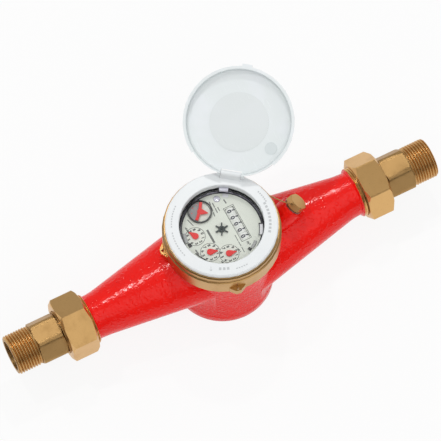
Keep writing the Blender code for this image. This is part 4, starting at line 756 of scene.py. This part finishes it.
def loftedSolid(name, x, halfWidth, halfHeight, centre, steps):
    # ovals across X, with half width, half height and centre height given for each x, closed at both ends
    turn = np.linspace(0, 2 * np.pi, steps, endpoint=False)
    y = halfWidth * np.cos(turn)
    z = casting["pipeHeight"] + centre[:, None] + halfHeight * np.sin(turn)
    points = np.stack([np.broadcast_to(x[:, None], y.shape), y, z], axis=-1).reshape(-1, 3)
    faces = [tuple(face) for face in gridFaces(len(x), steps, False, True)]
    faces.append(tuple(range(steps)))
    faces.append(tuple(reversed(range((len(x) - 1) * steps, len(x) * steps))))
    return solid(name, points, faces)


def castArm(name, side, halfWidth, halfHeight, offset):
    # the oval grows evenly from the neck to its full size at wide, with a curved start over the blend;
    # past the neck the radius steps up to the thread, a wave that climbs one pitch a turn
    a = arm
    run, foot, top = a["neck"] - a["wide"], a["neck"] - a["blend"], a["neck"] + a["blend"]
    x = np.concatenate([np.linspace(a["innerEnd"], foot, 30), np.linspace(foot, top, 10)[1:]])
    share = np.where(x <= foot, (a["neck"] - x) / run, (top - x) ** 2 / (4 * a["blend"] * run))
    wide = a["neckRadius"] + (halfWidth - a["neckRadius"]) * share
    tall = a["neckRadius"] + (halfHeight - a["neckRadius"]) * share
    turn = np.linspace(0, 2 * np.pi, a["steps"], endpoint=False)
    xThread = np.linspace(a["threadStart"], a["end"], a["threadSteps"])
    wave = 0.5 + 0.5 * np.cos(2 * np.pi * (xThread[:, None] / a["threadPitch"] - turn / (2 * np.pi)))
    cut = a["threadDepth"] * wave * np.clip((xThread[:, None] - a["threadStart"]) / a["threadFade"], 0, 1)
    radius = a["threadRadius"] - np.maximum(cut, a["edge"] - (a["end"] - xThread[:, None]))
    xAll = np.concatenate([x, [a["threadStart"] - a["shoulder"]], xThread])
    ring = np.ones((1, a["steps"]))
    step = (a["neckRadius"] + a["shoulder"]) * ring
    widths = np.concatenate([wide[:, None] * ring, step, radius])
    heights = np.concatenate([tall[:, None] * ring, step, radius])
    centre = np.concatenate([offset * share, np.zeros(len(xThread) + 1)])
    return loftedSolid(name, side * xAll, widths, heights, centre, a["steps"])


def waterWay(name, side):
    w = passage
    x = np.array([w["mouth"] - w["reach"], w["mouth"], arm["neck"], arm["end"] + 0.001])
    share = np.array([1.0, 1.0, 0.0, 0.0])
    wide = w["bore"] + (w["wide"] - w["bore"]) * share
    tall = w["bore"] + (w["tall"] - w["bore"]) * share
    centre = -side * casting["wayOffset"] * share
    return loftedSolid(name, side * x, wide[:, None], tall[:, None], centre, w["steps"])


def castBody():
    body = turnedSolid("bodyCasting", cup["outside"], cup["steps"])
    outSteps, inSteps = boss["steps"]
    seatX, seatZ = boss["seat"]
    bypass, across = boss["bypass"], seatX - boss["bypassEnd"]
    floor = casting["pipeHeight"] - casting["wayOffset"]
    down = [(0.0, seatZ), (bypass, seatZ), (bypass, floor), (0.0, floor)]
    level = [(0.0, 0.0), (0.0, across), (bypass, across), (bypass, 0.0)]
    added = [
        castArm("armInlet", *arm["inlet"]),
        castArm("armOutlet", *arm["outlet"]),
        turnedSolid("bossOutside", boss["outside"], outSteps, boss["lean"], boss["end"]),
    ]
    removed = [
        turnedSolid("cupInside", cup["inside"], cup["steps"]),
        waterWay("wayIn", 1),
        waterWay("wayOut", -1),
        turnedSolid("bossInside", boss["inside"], inSteps, boss["lean"], boss["end"]),
        turnedSolid("bypassDown", down, boss["bypassSteps"], 0.0, (seatX, 0, 0)),
        turnedSolid("bypassAcross", level, boss["bypassSteps"], -90.0, (seatX, 0, seatZ)),
    ]
    for tools, operation in ((added, "UNION"), (removed, "DIFFERENCE")):
        for tool in tools:
            step = body.modifiers.new(tool.name, "BOOLEAN")
            step.operation = operation
            step.object = tool
            step.solver = "EXACT"
    bpy.context.view_layer.update()
    mesh = bpy.data.meshes.new_from_object(body.evaluated_get(bpy.context.evaluated_depsgraph_get()))
    for tool in (body, *added, *removed):
        bpy.data.objects.remove(tool)
    mesh.materials.clear()
    mesh.materials.append(redPaint)
    mesh.shade_smooth()
    mesh.set_sharp_from_angle(angle=math.radians(30))
    placed("bodyCasting", mesh, "meter_body")


castBody()
print("casting cut")


# Pipe threads on the tail pieces

pipeThread = {
    "pitch": 0.00231,
    "crest": 0.0166,
    "root": 0.01518,
    "inner": 0.0148,
    "start": 0.1683,
    "end": 0.189,
    "chamfer": 0.0012,
    "tooth": 2.5,
    "turnSteps": 160,
    "lengthSteps": 190,
    "runOut": 0.0022,
}


def makeThread(name, side):
    # radius over (turn, length): a rounded tooth that climbs one pitch a turn, cut off by the end's chamfer,
    # and sinking to half its height where the tool ran out
    t = pipeThread
    turn = np.linspace(0, 2 * np.pi, t["turnSteps"], endpoint=False)[:, None]
    along = np.linspace(t["start"], t["end"], t["lengthSteps"])[None, :]
    phase = (along / t["pitch"] - turn / (2 * np.pi)) % 1.0
    tooth = np.clip(t["tooth"] / 2 - t["tooth"] * np.abs(phase - 0.5), 0, 1)
    tooth = tooth * tooth * (3 - 2 * tooth)
    height = t["root"] + (t["crest"] - t["root"]) * tooth
    fade = np.clip((along - t["start"]) / t["runOut"], 0, 1)
    height = height * fade + (t["root"] + 0.5 * (t["crest"] - t["root"])) * (1 - fade)
    height = np.minimum(height, t["crest"] - t["chamfer"] + (t["end"] - along))
    x = np.broadcast_to(along, height.shape)
    inner = np.full((t["turnSteps"], 1), t["inner"])
    radius = np.concatenate([inner, height, inner], axis=1)
    x = np.concatenate([x[:, :1], x, x[:, -1:]], axis=1)
    if side < 0:
        turn = -turn
    z = casting["pipeHeight"] + radius * np.sin(turn)
    points = np.stack([side * x, radius * np.cos(turn), z], axis=-1).reshape(-1, 3)
    faces = gridFaces(t["turnSteps"], radius.shape[1], True, True)
    addPiece(name, points, faces, brassThread, "meter")


tail = {
    "collarThick": 0.006,
    "collar": 0.02285,
    "neck": 0.0183,
    "flat": 0.01645,
    "corner": 0.01847,
    "hexEdge": 0.001,
    "hexStart": 0.1455,
    "hexEnd": 0.168,
    "bore": 0.0125,
    "rootGap": 0.0002,
    "endEdge": 0.0001,
    "steps": 144,
}


def makeTail(name, node, side):
    # radius over (turn, length): a six-sided bar whose radius is flat / cos(turn from the flat's middle),
    # held down to a round limit that changes along the length
    t = tail
    mesh = mergedMesh(node, 20)
    corners = np.array([vertex.co[:] for vertex in mesh.vertices])
    bpy.data.meshes.remove(mesh)
    corners[:, 2] -= casting["pipeHeight"]
    far = np.hypot(corners[:, 1], corners[:, 2]) > t["corner"] - 0.00005
    far &= np.abs(corners[:, 0]) > t["hexStart"] + t["hexEdge"]
    lean = np.angle(np.mean(np.exp(6j * np.arctan2(corners[far, 2], corners[far, 1])))) / 6
    start, end = sorted(abs(corner.x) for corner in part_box(node))
    root = pipeThread["root"] - t["rootGap"]
    neck, edge, grow = start + t["collarThick"], t["hexEdge"], t["corner"] - t["flat"]
    shares = (0, 0.25, 0.5, 0.75, 1)
    limits = [(start, t["bore"]), (start, t["collar"]), (neck, t["collar"])]
    limits += [(neck, t["neck"]), (t["hexStart"], t["neck"])]
    limits += [(t["hexStart"] + edge * u, t["flat"] + grow * u) for u in shares]
    limits += [(t["hexEnd"] - edge * (1 - u), t["corner"] - grow * u) for u in shares]
    limits += [(t["hexEnd"], root), (end - t["endEdge"], root), (end, root - t["endEdge"]), (end, t["bore"])]
    x, limit = np.array(limits).T
    turn = lean + np.linspace(0, 2 * np.pi, t["steps"], endpoint=False)[:, None]
    hexed = (x > t["hexStart"]) | ((x == t["hexStart"]) & (limit < t["neck"]))
    bar = t["flat"] / np.cos((turn - lean) % (np.pi / 3) - np.pi / 6)
    radius = np.where(hexed, np.minimum(bar, limit), limit)
    y = radius * np.cos(turn)
    z = casting["pipeHeight"] + radius * np.sin(turn)
    points = np.stack([np.broadcast_to(side * x, y.shape), y, z], axis=-1).reshape(-1, 3)
    faces = gridFaces(t["steps"], len(x), True, True)
    if side < 0:
        faces = faces[:, ::-1]
    standIn(addPiece(name, points, faces, brassTail, "meter"), node)


for end, side in (("Inlet", 1), ("Outlet", -1)):
    makeTail("tailBody" + end, "tail_piece_" + end.lower(), side)
    makeThread("tailThread" + end, side)
print("threads cut")


# Dial print, digits and numbers

dial = {
    "ink": (0.030, 0.032, 0.036),
    "digitInk": (0.022, 0.024, 0.050),
    "greyInk": (0.17, 0.18, 0.17),
    "coverInk": (0.58, 0.60, 0.61),
    "paper": (0.83, 0.865, 0.78),
    "paperShade": (0.79, 0.825, 0.745),
    "inkLift": 0.00003,
    "inkThickness": 0.00002,
    "smallCircle": 0.0080,
    "circleLine": 0.00034,
    "numberHeight": 0.0023,
    "numberRing": 0.0061,
    "numberBold": 0.00013,
    "wordBold": 0.00009,
    "fontShare": 1.4,
    "digitBold": 0.00018,
    "digitHeight": 0.0034,
    "digitWide": 1.12,
    "digitThickness": 0.00004,
    "digitStrips": 9,
    "digitLift": 0.00004,
    "digitRoll": -0.16,
    "drumGrow": 0.00022,
    "drumWiden": 0.0002,
    "drumEdge": 0.0002,
    "drumBore": 0.0011,
    "windowHalf": 0.00425,
    "windowMargin": 0.0013,
    "windowLine": 0.00036,
}


def paperFinish():
    tree = newFinish("dialPaper")
    fibre = tree.noise(700, 3, 0.6)
    cloud = tree.noise(60, 2, 0.5)
    paper, shade = (tree.colour(*dial[key]) for key in ("paper", "paperShade"))
    colour = tree.mix(cloud.step(0.35, 0.75) * 0.5, paper, shade)
    normal = tree.bump(fibre, 0.2, 0.00002)
    return tree.surface(Base_Color=colour, Roughness=(fibre - 0.5) * 0.1 + 0.55, Normal=normal)


def inkFinish(name, colour):
    tree = newFinish(name)
    worn = tree.noise(900, 3, 0.6)
    faded = tree.colour(*(c + 0.05 for c in colour))
    tone = tree.mix(worn.step(0.45, 0.8) * 0.35, tree.colour(*colour), faded)
    return tree.surface(Base_Color=tone, Roughness=(worn - 0.5) * 0.1 + 0.5)


paper = paperFinish()
ink = inkFinish("dialInk", dial["ink"])
digitInk = inkFinish("digitInk", dial["digitInk"])
greyInk = inkFinish("dialGreyInk", dial["greyInk"])
paleInk = inkFinish("coverInk", dial["coverInk"])
dress(paper, "dial_plate")
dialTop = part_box("dial_plate")[1].z


def glyph(text, height, thickness, bold=0.0, strip=None):
    # a word or number as points and faces, its middle at the origin, read along X with its top towards Y,
    # and cut into strips across Y where it has to bend
    data = bpy.data.curves.new("glyph", "FONT")
    data.body = text
    data.size = height * dial["fontShare"]
    data.extrude = thickness / 2
    data.offset = bold
    data.resolution_u = 3
    data.align_x = "CENTER"
    made = bpy.data.objects.new("glyph", data)
    bpy.context.scene.collection.objects.link(made)
    bpy.context.view_layer.update()
    mesh = bpy.data.meshes.new_from_object(made.evaluated_get(bpy.context.evaluated_depsgraph_get()))
    shape = bmesh.new()
    shape.from_mesh(mesh)
    bmesh.ops.remove_doubles(shape, verts=shape.verts, dist=1e-7)
    bmesh.ops.recalc_face_normals(shape, faces=shape.faces)
    if strip:
        for level in np.arange(-0.5 * height, 1.5 * height, strip):
            everything = list(shape.verts) + list(shape.edges) + list(shape.faces)
            bmesh.ops.bisect_plane(shape, geom=everything, plane_co=(0, level, 0), plane_no=(0, 1, 0))
        bmesh.ops.triangulate(shape, faces=shape.faces)
    shape.to_mesh(mesh)
    shape.free()
    points = np.empty(len(mesh.vertices) * 3, np.float32)
    mesh.vertices.foreach_get("co", points)
    points = points.reshape(-1, 3).astype(float)
    faces = [tuple(p.vertices) for p in mesh.polygons]
    low, high = points.min(0), points.max(0)
    points -= (low + high) / 2
    bpy.data.objects.remove(made)
    bpy.data.curves.remove(data)
    bpy.data.meshes.remove(mesh)
    return points, faces


def laid(shape, x, y, z, turn):
    # a glyph turned in the dial's plane and moved to its place
    points, faces = shape
    c, s = math.cos(turn), math.sin(turn)
    moved = np.stack([
        x + points[:, 0] * c - points[:, 1] * s,
        y + points[:, 0] * s + points[:, 1] * c,
        z + points[:, 2],
    ], axis=-1)
    return moved, faces


def flatBar(x, y, length, width, turn, z, thickness):
    # a bar printed on the dial, as a closed slab
    corners = np.array([[sx * length / 2, sy * width / 2, sz * thickness / 2]
                        for sz in (-1, 1) for sx, sy in ((-1, -1), (1, -1), (1, 1), (-1, 1))])
    faces = [(3, 2, 1, 0), (4, 5, 6, 7), (0, 1, 5, 4), (1, 2, 6, 5), (2, 3, 7, 6), (3, 0, 4, 7)]
    return laid((corners, faces), x, y, z, turn)


def middleOf(node):
    low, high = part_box(node)
    return (low + high) / 2


printed = {
    "words": [
        ("m³", 0.0024, 0.0136, -0.0202),
        ("x0.1", 0.0016, 0.0040, -0.0222),
        ("x0.01", 0.0014, -0.0124, -0.0262),
        ("x0.001", 0.0014, -0.0262, -0.0085),
        ("x0.0001", 0.0014, -0.0246, 0.0118),
    ],
    "bars": [  # from x, y to x, y, and the width
        (0.0022, 0.0260, 0.0017, 0.0226, 0.0008),
        (0.0016, 0.0218, 0.0010, 0.0172, 0.0008),
        (0.0009, 0.0164, 0.0003, 0.0127, 0.0008),
        (0.0039, 0.0240, 0.0038, 0.0196, 0.0008),
        (0.0038, 0.0188, 0.0037, 0.0146, 0.0008),
        (0.0060, 0.0188, 0.0059, 0.0150, 0.0007),
        (0.0132, 0.0225, 0.0136, 0.0185, 0.0010),
        (-0.0203, 0.0200, -0.0185, 0.0132, 0.0007),
        (-0.0105, 0.0050, -0.0104, -0.0076, 0.0017),
        (0.0070, -0.0090, 0.0070, -0.0146, 0.0006),
        (0.0070, -0.0153, 0.0070, -0.0198, 0.0006),
        (0.0070, -0.0205, 0.0070, -0.0256, 0.0006),
    ],
}


def printDial():
    z = dialTop + dial["inkLift"]
    t = dial["inkThickness"]
    readTurn = math.radians(-90)  # the print reads along -Y with its top towards +X
    pieces = []
    numbers = [glyph(str(n), dial["numberHeight"], t, dial["numberBold"]) for n in range(10)]
    for n in (2, 3, 4):
        at = middleOf(f"pointer_spindle_{n}")
        band = ringBand(dial["smallCircle"] - dial["circleLine"], dial["smallCircle"], z - t / 2, z + t / 2)
        pieces.append(revolved(band, 64, (at.x, at.y)))
        for number in range(10):
            turn = readTurn + math.pi / 2 - 2 * math.pi * number / 10
            x = at.x + dial["numberRing"] * math.cos(turn)
            y = at.y + dial["numberRing"] * math.sin(turn)
            pieces.append(laid(numbers[number], x, y, z, readTurn))
    slotLow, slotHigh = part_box("number_drum_1")[0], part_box("number_drum_5")[1]
    middle = middleOf("number_drum_3")
    halfX, halfY = dial["windowHalf"], (slotHigh.y - slotLow.y) / 2 + dial["windowMargin"]
    line = dial["windowLine"]
    for sign in (-1, 1):
        pieces.append(flatBar(middle.x + sign * halfX, middle.y, line, 2 * halfY + line, 0, z, t))
        pieces.append(flatBar(middle.x, middle.y + sign * halfY, 2 * halfX + line, line, 0, z, t))
    for text, height, x, y in printed["words"]:
        pieces.append(laid(glyph(text, height, t, dial["wordBold"]), x, y, z, readTurn))
    addPiece("dialPrint", *joined(pieces), ink, "register", False)
    bars = [flatBar((x0 + x1) / 2, (y0 + y1) / 2, math.hypot(x1 - x0, y1 - y0), width,
                    math.atan2(y1 - y0, x1 - x0), z, t) for x0, y0, x1, y1, width in printed["bars"]]
    addPiece("dialBars", *joined(bars), greyInk, "register", False)


printDial()


def digitDrum(n):
    # a drum turned from a profile of (radius, width), and ten digits bent round it, read along -Y
    body = f"drum_{n}"
    low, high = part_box(f"number_drum_{n}")
    middle = (low + high) / 2
    radius = (high.x - low.x) / 2 + dial["drumGrow"]
    half = (high.y - low.y) / 2 + dial["drumWiden"]
    edge, bore = dial["drumEdge"], dial["drumBore"]
    profile = [(bore, -half), (radius - edge, -half), (radius - edge * 0.3, -half + edge * 0.3),
               (radius, -half + edge), (radius, half - edge), (radius - edge * 0.3, half - edge * 0.3),
               (radius - edge, half), (bore, half)]
    points, faces = revolved(profile, 72)
    points = np.stack([middle.x + points[:, 0], middle.y + points[:, 2], middle.z - points[:, 1]], axis=-1)
    standIn(addPiece(f"drumBody{n}", points, faces, drumWhite, body), f"number_drum_{n}")
    reach = radius + dial["digitLift"]
    pieces = []
    tall = dial["digitHeight"]
    strip = tall / dial["digitStrips"]
    for number in range(10):
        points, faces = glyph(str(number), tall, dial["digitThickness"], dial["digitBold"], strip)
        bend = points[:, 1] / reach + 2 * math.pi * number / 10 + dial["digitRoll"]
        out = reach + points[:, 2]
        moved = np.stack([
            middle.x + out * np.sin(bend),
            middle.y - points[:, 0] * dial["digitWide"],
            middle.z + out * np.cos(bend),
        ], axis=-1)
        pieces.append((moved, faces))
    addPiece(f"drumDigits{n}", *joined(pieces), digitInk, body, False)


for n in range(1, 6):
    digitDrum(n)
print("dial printed")


# Round the dial: star wheel, dark surround, clear lugs and the print on the cover ring

eye = {
    "starHub": 0.0027,
    "starTip": 0.0055,
    "starArm": 0.00052,
    "starEdge": 0.00022,
    "starHole": (0.0004, 0.0009, 0.0012),  # radii of the pin, and of the dimple round it
    "starDimple": 0.0003,
    "starSteps": 288,
    "lift": 0.00002,
    "surround": (0.0314, 0.0341),
    "seal": (0.0334, 0.0362, 0.00024),
    "boss": (0.0085, 0.0252),
    "bossProfile": [(0.00001, 0.0), (0.0026, 0.0), (0.0026, 0.0005), (0.0022, 0.0009), (0.0017, 0.0009),
                    (0.0015, 0.0005), (0.00001, 0.0004)],
    # middle and radii of a flat grey ring of painted shade round the clear boss
    "paintedBossShade": (0.0086, 0.0255, 0.00235, 0.0028),
    "wellLine": (0.0082, 0.0085),
    "lineHeight": 0.0001,
}


def makeStar():
    # outline radius over the turn: a round hub, and six arms whose half width is constant along their length
    low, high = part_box("star_wheel")
    middle = (low + high) / 2
    turn = np.linspace(0, 2 * np.pi, eye["starSteps"], endpoint=False)
    first = math.radians(90 - camera["turn"])
    off = (turn - first + np.pi / 6) % (np.pi / 3) - np.pi / 6
    arm = eye["starArm"] / np.maximum(np.abs(np.sin(off)), 1e-6)
    taper = np.minimum(arm, eye["starTip"] / np.maximum(np.cos(off), 0.1))
    radius = np.maximum(eye["starHub"], np.minimum(taper, eye["starTip"]))
    edge, thick = eye["starEdge"], high.z - low.z
    pin, floor, brim = (np.full_like(radius, size) for size in eye["starHole"])
    dimple = thick - eye["starDimple"]
    rings = [(pin, 0.0), (radius, 0.0), (radius, thick - edge), (radius - edge, thick), (brim, thick)]
    rings += [(floor, dimple), (pin, dimple)]
    r = np.stack([ring for ring, _ in rings], axis=1)
    x = middle.x + r * np.cos(turn)[:, None]
    y = middle.y + r * np.sin(turn)[:, None]
    z = np.broadcast_to(low.z + np.array([lift for _, lift in rings]), r.shape)
    points = np.stack([x, y, z], axis=-1).reshape(-1, 3)
    faces = gridFaces(eye["starSteps"], len(rings), True, True)
    standIn(addPiece("starRotor", points, faces, starPlastic, "star"), "star_wheel")


def arcBlock(inner, outer, low, high, start, end, edge=0.0, steps=12):
    # a section of four sides, or eight with its edges broken, carried along an arc in degrees
    # and closed at its ends
    if edge:
        section = [(inner + edge, low), (outer - edge, low), (outer, low + edge), (outer, high - edge),
                   (outer - edge, high), (inner + edge, high), (inner, high - edge), (inner, low + edge)]
    else:
        section = ringBand(inner, outer, low, high)
    section = np.array(section)
    turn = np.radians(np.linspace(start, end, steps))[:, None]
    x = section[:, 0] * np.cos(turn)
    y = section[:, 0] * np.sin(turn)
    points = np.stack([x, y, np.broadcast_to(section[:, 1], x.shape)], axis=-1).reshape(-1, 3)
    count = len(section)
    faces = [tuple(face) for face in gridFaces(steps, count, False, True)]
    faces.append(tuple(range(count)))
    faces.append(tuple(reversed(range((steps - 1) * count, steps * count))))
    return points, faces


def surroundFinish():
    # the dark ring round the dial: black, with a lilac-grey band for the clear rim, faint all round and
    # painted brighter towards the far side as a glint of the rim, broken up by noise
    tree = newFinish("dialSurround")
    x, y = tree.axes()[:2]
    radius = (x * x + y * y) ** 0.5
    band = radius.step(0.0320, 0.0323) * (1 - radius.step(0.0333, 0.0336))
    # painted glint: the band is lighter on the side of the dial away from the camera
    far = ((x * 0.45 + y * 0.89) / radius).step(0.20, 0.95)
    broken = tree.noise(170, 2, 0.6).step(0.38, 0.58)
    paintedRimGlint = band * (far * 0.7 + 0.12) * (broken * 0.75 + 0.25)
    colour = tree.mix(paintedRimGlint, tree.colour(0.016, 0.015, 0.022), tree.colour(0.60, 0.58, 0.68))
    normal = tree.bump(broken, 0.2, 0.0001)
    return tree.surface(Base_Color=colour, Roughness=0.30 - broken * 0.1, Normal=normal)


surround = surroundFinish()


eyeArcs = {
    # each piece's finish, whether it stands on the dial or the window, and its arcs:
    # inner and outer radius, height, from and to in degrees, broken edge
    "clearLug": (clearLilac, "window", [(0.0306, 0.0336, 0.0022, 53.5, 66.5, 0.0004)]),
    "lugFoot": (clipWhite, "dial", [(0.0280, 0.0312, 0.0007, 52.5, 61.5, 0.0002)]),
    "lugEnds": (blackPlastic, "window", [(0.0304, 0.0337, 0.0014, 66.8, 68.6, 0.0002),
                                         (0.0304, 0.0337, 0.0014, 51.4, 53.2, 0.0002)]),
    "edgeClip": (clipWhite, "dial", [(0.0302, 0.0328, 0.0021, -36.5, -20.5, 0.0004)]),
    "clipShadow": (blackPlastic, "dial", [(0.0296, 0.0301, 0.0010, -37.5, -17.5, 0.0),
                                          (0.0296, 0.0316, 0.0010, -19.9, -17.4, 0.0)]),
    "edgeWedge": (wedgeGrey, "dial", [(0.0274, 0.0298, 0.0008, -61.0, -47.5, 0.0002),
                                      (0.0286, 0.0312, 0.0008, 160.0, 176.5, 0.0002)]),
    "edgeStops": (blackPlastic, "dial", [(0.0266, 0.0292, 0.0010, -67.0, -62.6, 0.0003),
                                         (0.0274, 0.0300, 0.0010, 178.5, 184.5, 0.0003),
                                         (0.0290, 0.0295, 0.0010, -162.0, -143.0, 0.0)]),
}


def addRing(name, inner, outer, low, high, material, steps, centre=(0, 0)):
    points, faces = revolved(ringBand(inner, outer, low, high), steps, centre)
    addPiece(name, points, faces, material, "register", False)


def dressEye():
    makeStar()
    lift = eye["lift"]
    addRing("dialSurround", *eye["surround"], dialTop, dialTop + lift, surround, 144)
    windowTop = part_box("register_window")[1].z
    inner, outer, thick = eye["seal"]
    addRing("windowSeal", inner, outer, windowTop + lift, windowTop + lift + thick, rubber, 144)
    for name, (material, foot, arcs) in eyeArcs.items():
        low, base = (windowTop + lift, windowTop + lift) if foot == "window" else (dialTop + lift, dialTop)
        blocks = [arcBlock(r, reach, low, base + tall, *turns) for r, reach, tall, *turns in arcs]
        addPiece(name, *joined(blocks), material, "register", False)
    bump = [(radius, dialTop + height + lift) for radius, height in eye["bossProfile"]]
    addPiece("clearBoss", *revolved(bump, 48, eye["boss"]), clearLilac, "register")
    # painted shade: a flat grey ring at the clear boss's foot stands for the dark crescent of the clear dome
    x, y, inner, outer = eye["paintedBossShade"]
    high = dialTop + lift + eye["lineHeight"]
    addRing("paintedBossShade", inner, outer, dialTop + lift / 2, high, wedgeGrey, 48, (x, y))
    well = middleOf("well_ring")
    addRing("wellLine", *eye["wellLine"], dialTop, dialTop + eye["lineHeight"], ink, 96, (well.x, well.y))


coverPrint = {
    "aboveRing": 0.004,
    "lift": 0.00001,
    "thickness": 0.00002,
    "filled": (0.12, 0.62),  # where a dash starts in its share of the arc, and how much it fills
    "dashes": [  # radius, height, from and to in degrees, number of dashes
        (0.0384, 0.0021, -39.0, 3.0, 9),
        (0.0402, 0.0012, 1.0, 18.0, 6),
        (0.0397, 0.0010, 129.0, 158.0, 9),
        (0.0397, 0.0010, 163.0, 197.0, 10),
        (0.0386, 0.0024, -121.0, -107.0, 3),
        (0.0401, 0.0010, -101.0, -86.0, 5),
    ],
    "arrow": (-0.0251, -0.0303, 0.0036),  # place and length
    "arrowLine": 0.11,
    "barb": (0.42, 42.0),
}


def printCover():
    # dashes along arcs, and a plain arrow for the flow
    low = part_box("head_ring")[1].z + coverPrint["aboveRing"] + coverPrint["lift"]
    thick = coverPrint["thickness"]
    first, filled = coverPrint["filled"]
    marks = []
    for radius, tall, start, end, count in coverPrint["dashes"]:
        step = (end - start) / count
        for begin in (start + step * (k + first) for k in range(count)):
            inner, outer, finish = radius - tall / 2, radius + tall / 2, begin + step * filled
            marks.append(arcBlock(inner, outer, low, low + thick, begin, finish, 0.0, 4))
    x, y, size = coverPrint["arrow"]
    line, middle = size * coverPrint["arrowLine"], low + thick / 2
    reach, spread = size * coverPrint["barb"][0], math.radians(coverPrint["barb"][1])
    turn = math.radians(90 - camera["turn"])
    tipX, tipY = x - size / 2 * math.cos(turn), y - size / 2 * math.sin(turn)
    marks.append(flatBar(x, y, size, line, turn, middle, thick))
    for lean in (turn - spread, turn + spread):
        barbX, barbY = tipX + reach / 2 * math.cos(lean), tipY + reach / 2 * math.sin(lean)
        marks.append(flatBar(barbX, barbY, reach, line, lean, middle, thick))
    addPiece("coverPrint", *joined(marks), paleInk, "cover", False)


pulseDot = {
    "places": ((-0.0121, 0.0266), (-0.0148, 0.0229), (-0.0083, 0.0276), (-0.0121, 0.0174)),
    "radius": 0.00042,
    "middle": 0.0000084,
    "foot": 0.00001,
    "lift": 0.00006,
}


def printDots():
    # flat round dots on the half disc that turns with the first pointer
    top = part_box("pulse_disc")[1].z
    inner, outer, low, high = (pulseDot[key] for key in ("middle", "radius", "foot", "lift"))
    rim = [(inner, top + high), (outer, top + high), (outer, top + low), (inner, top + low)]
    dots = joined([revolved(rim, 20, place) for place in pulseDot["places"]])
    addPiece("pulseDots", *dots, redPointer, bodyOf["pulse_disc"])


printDots()
dressEye()
printCover()
print("eye and cover finished")
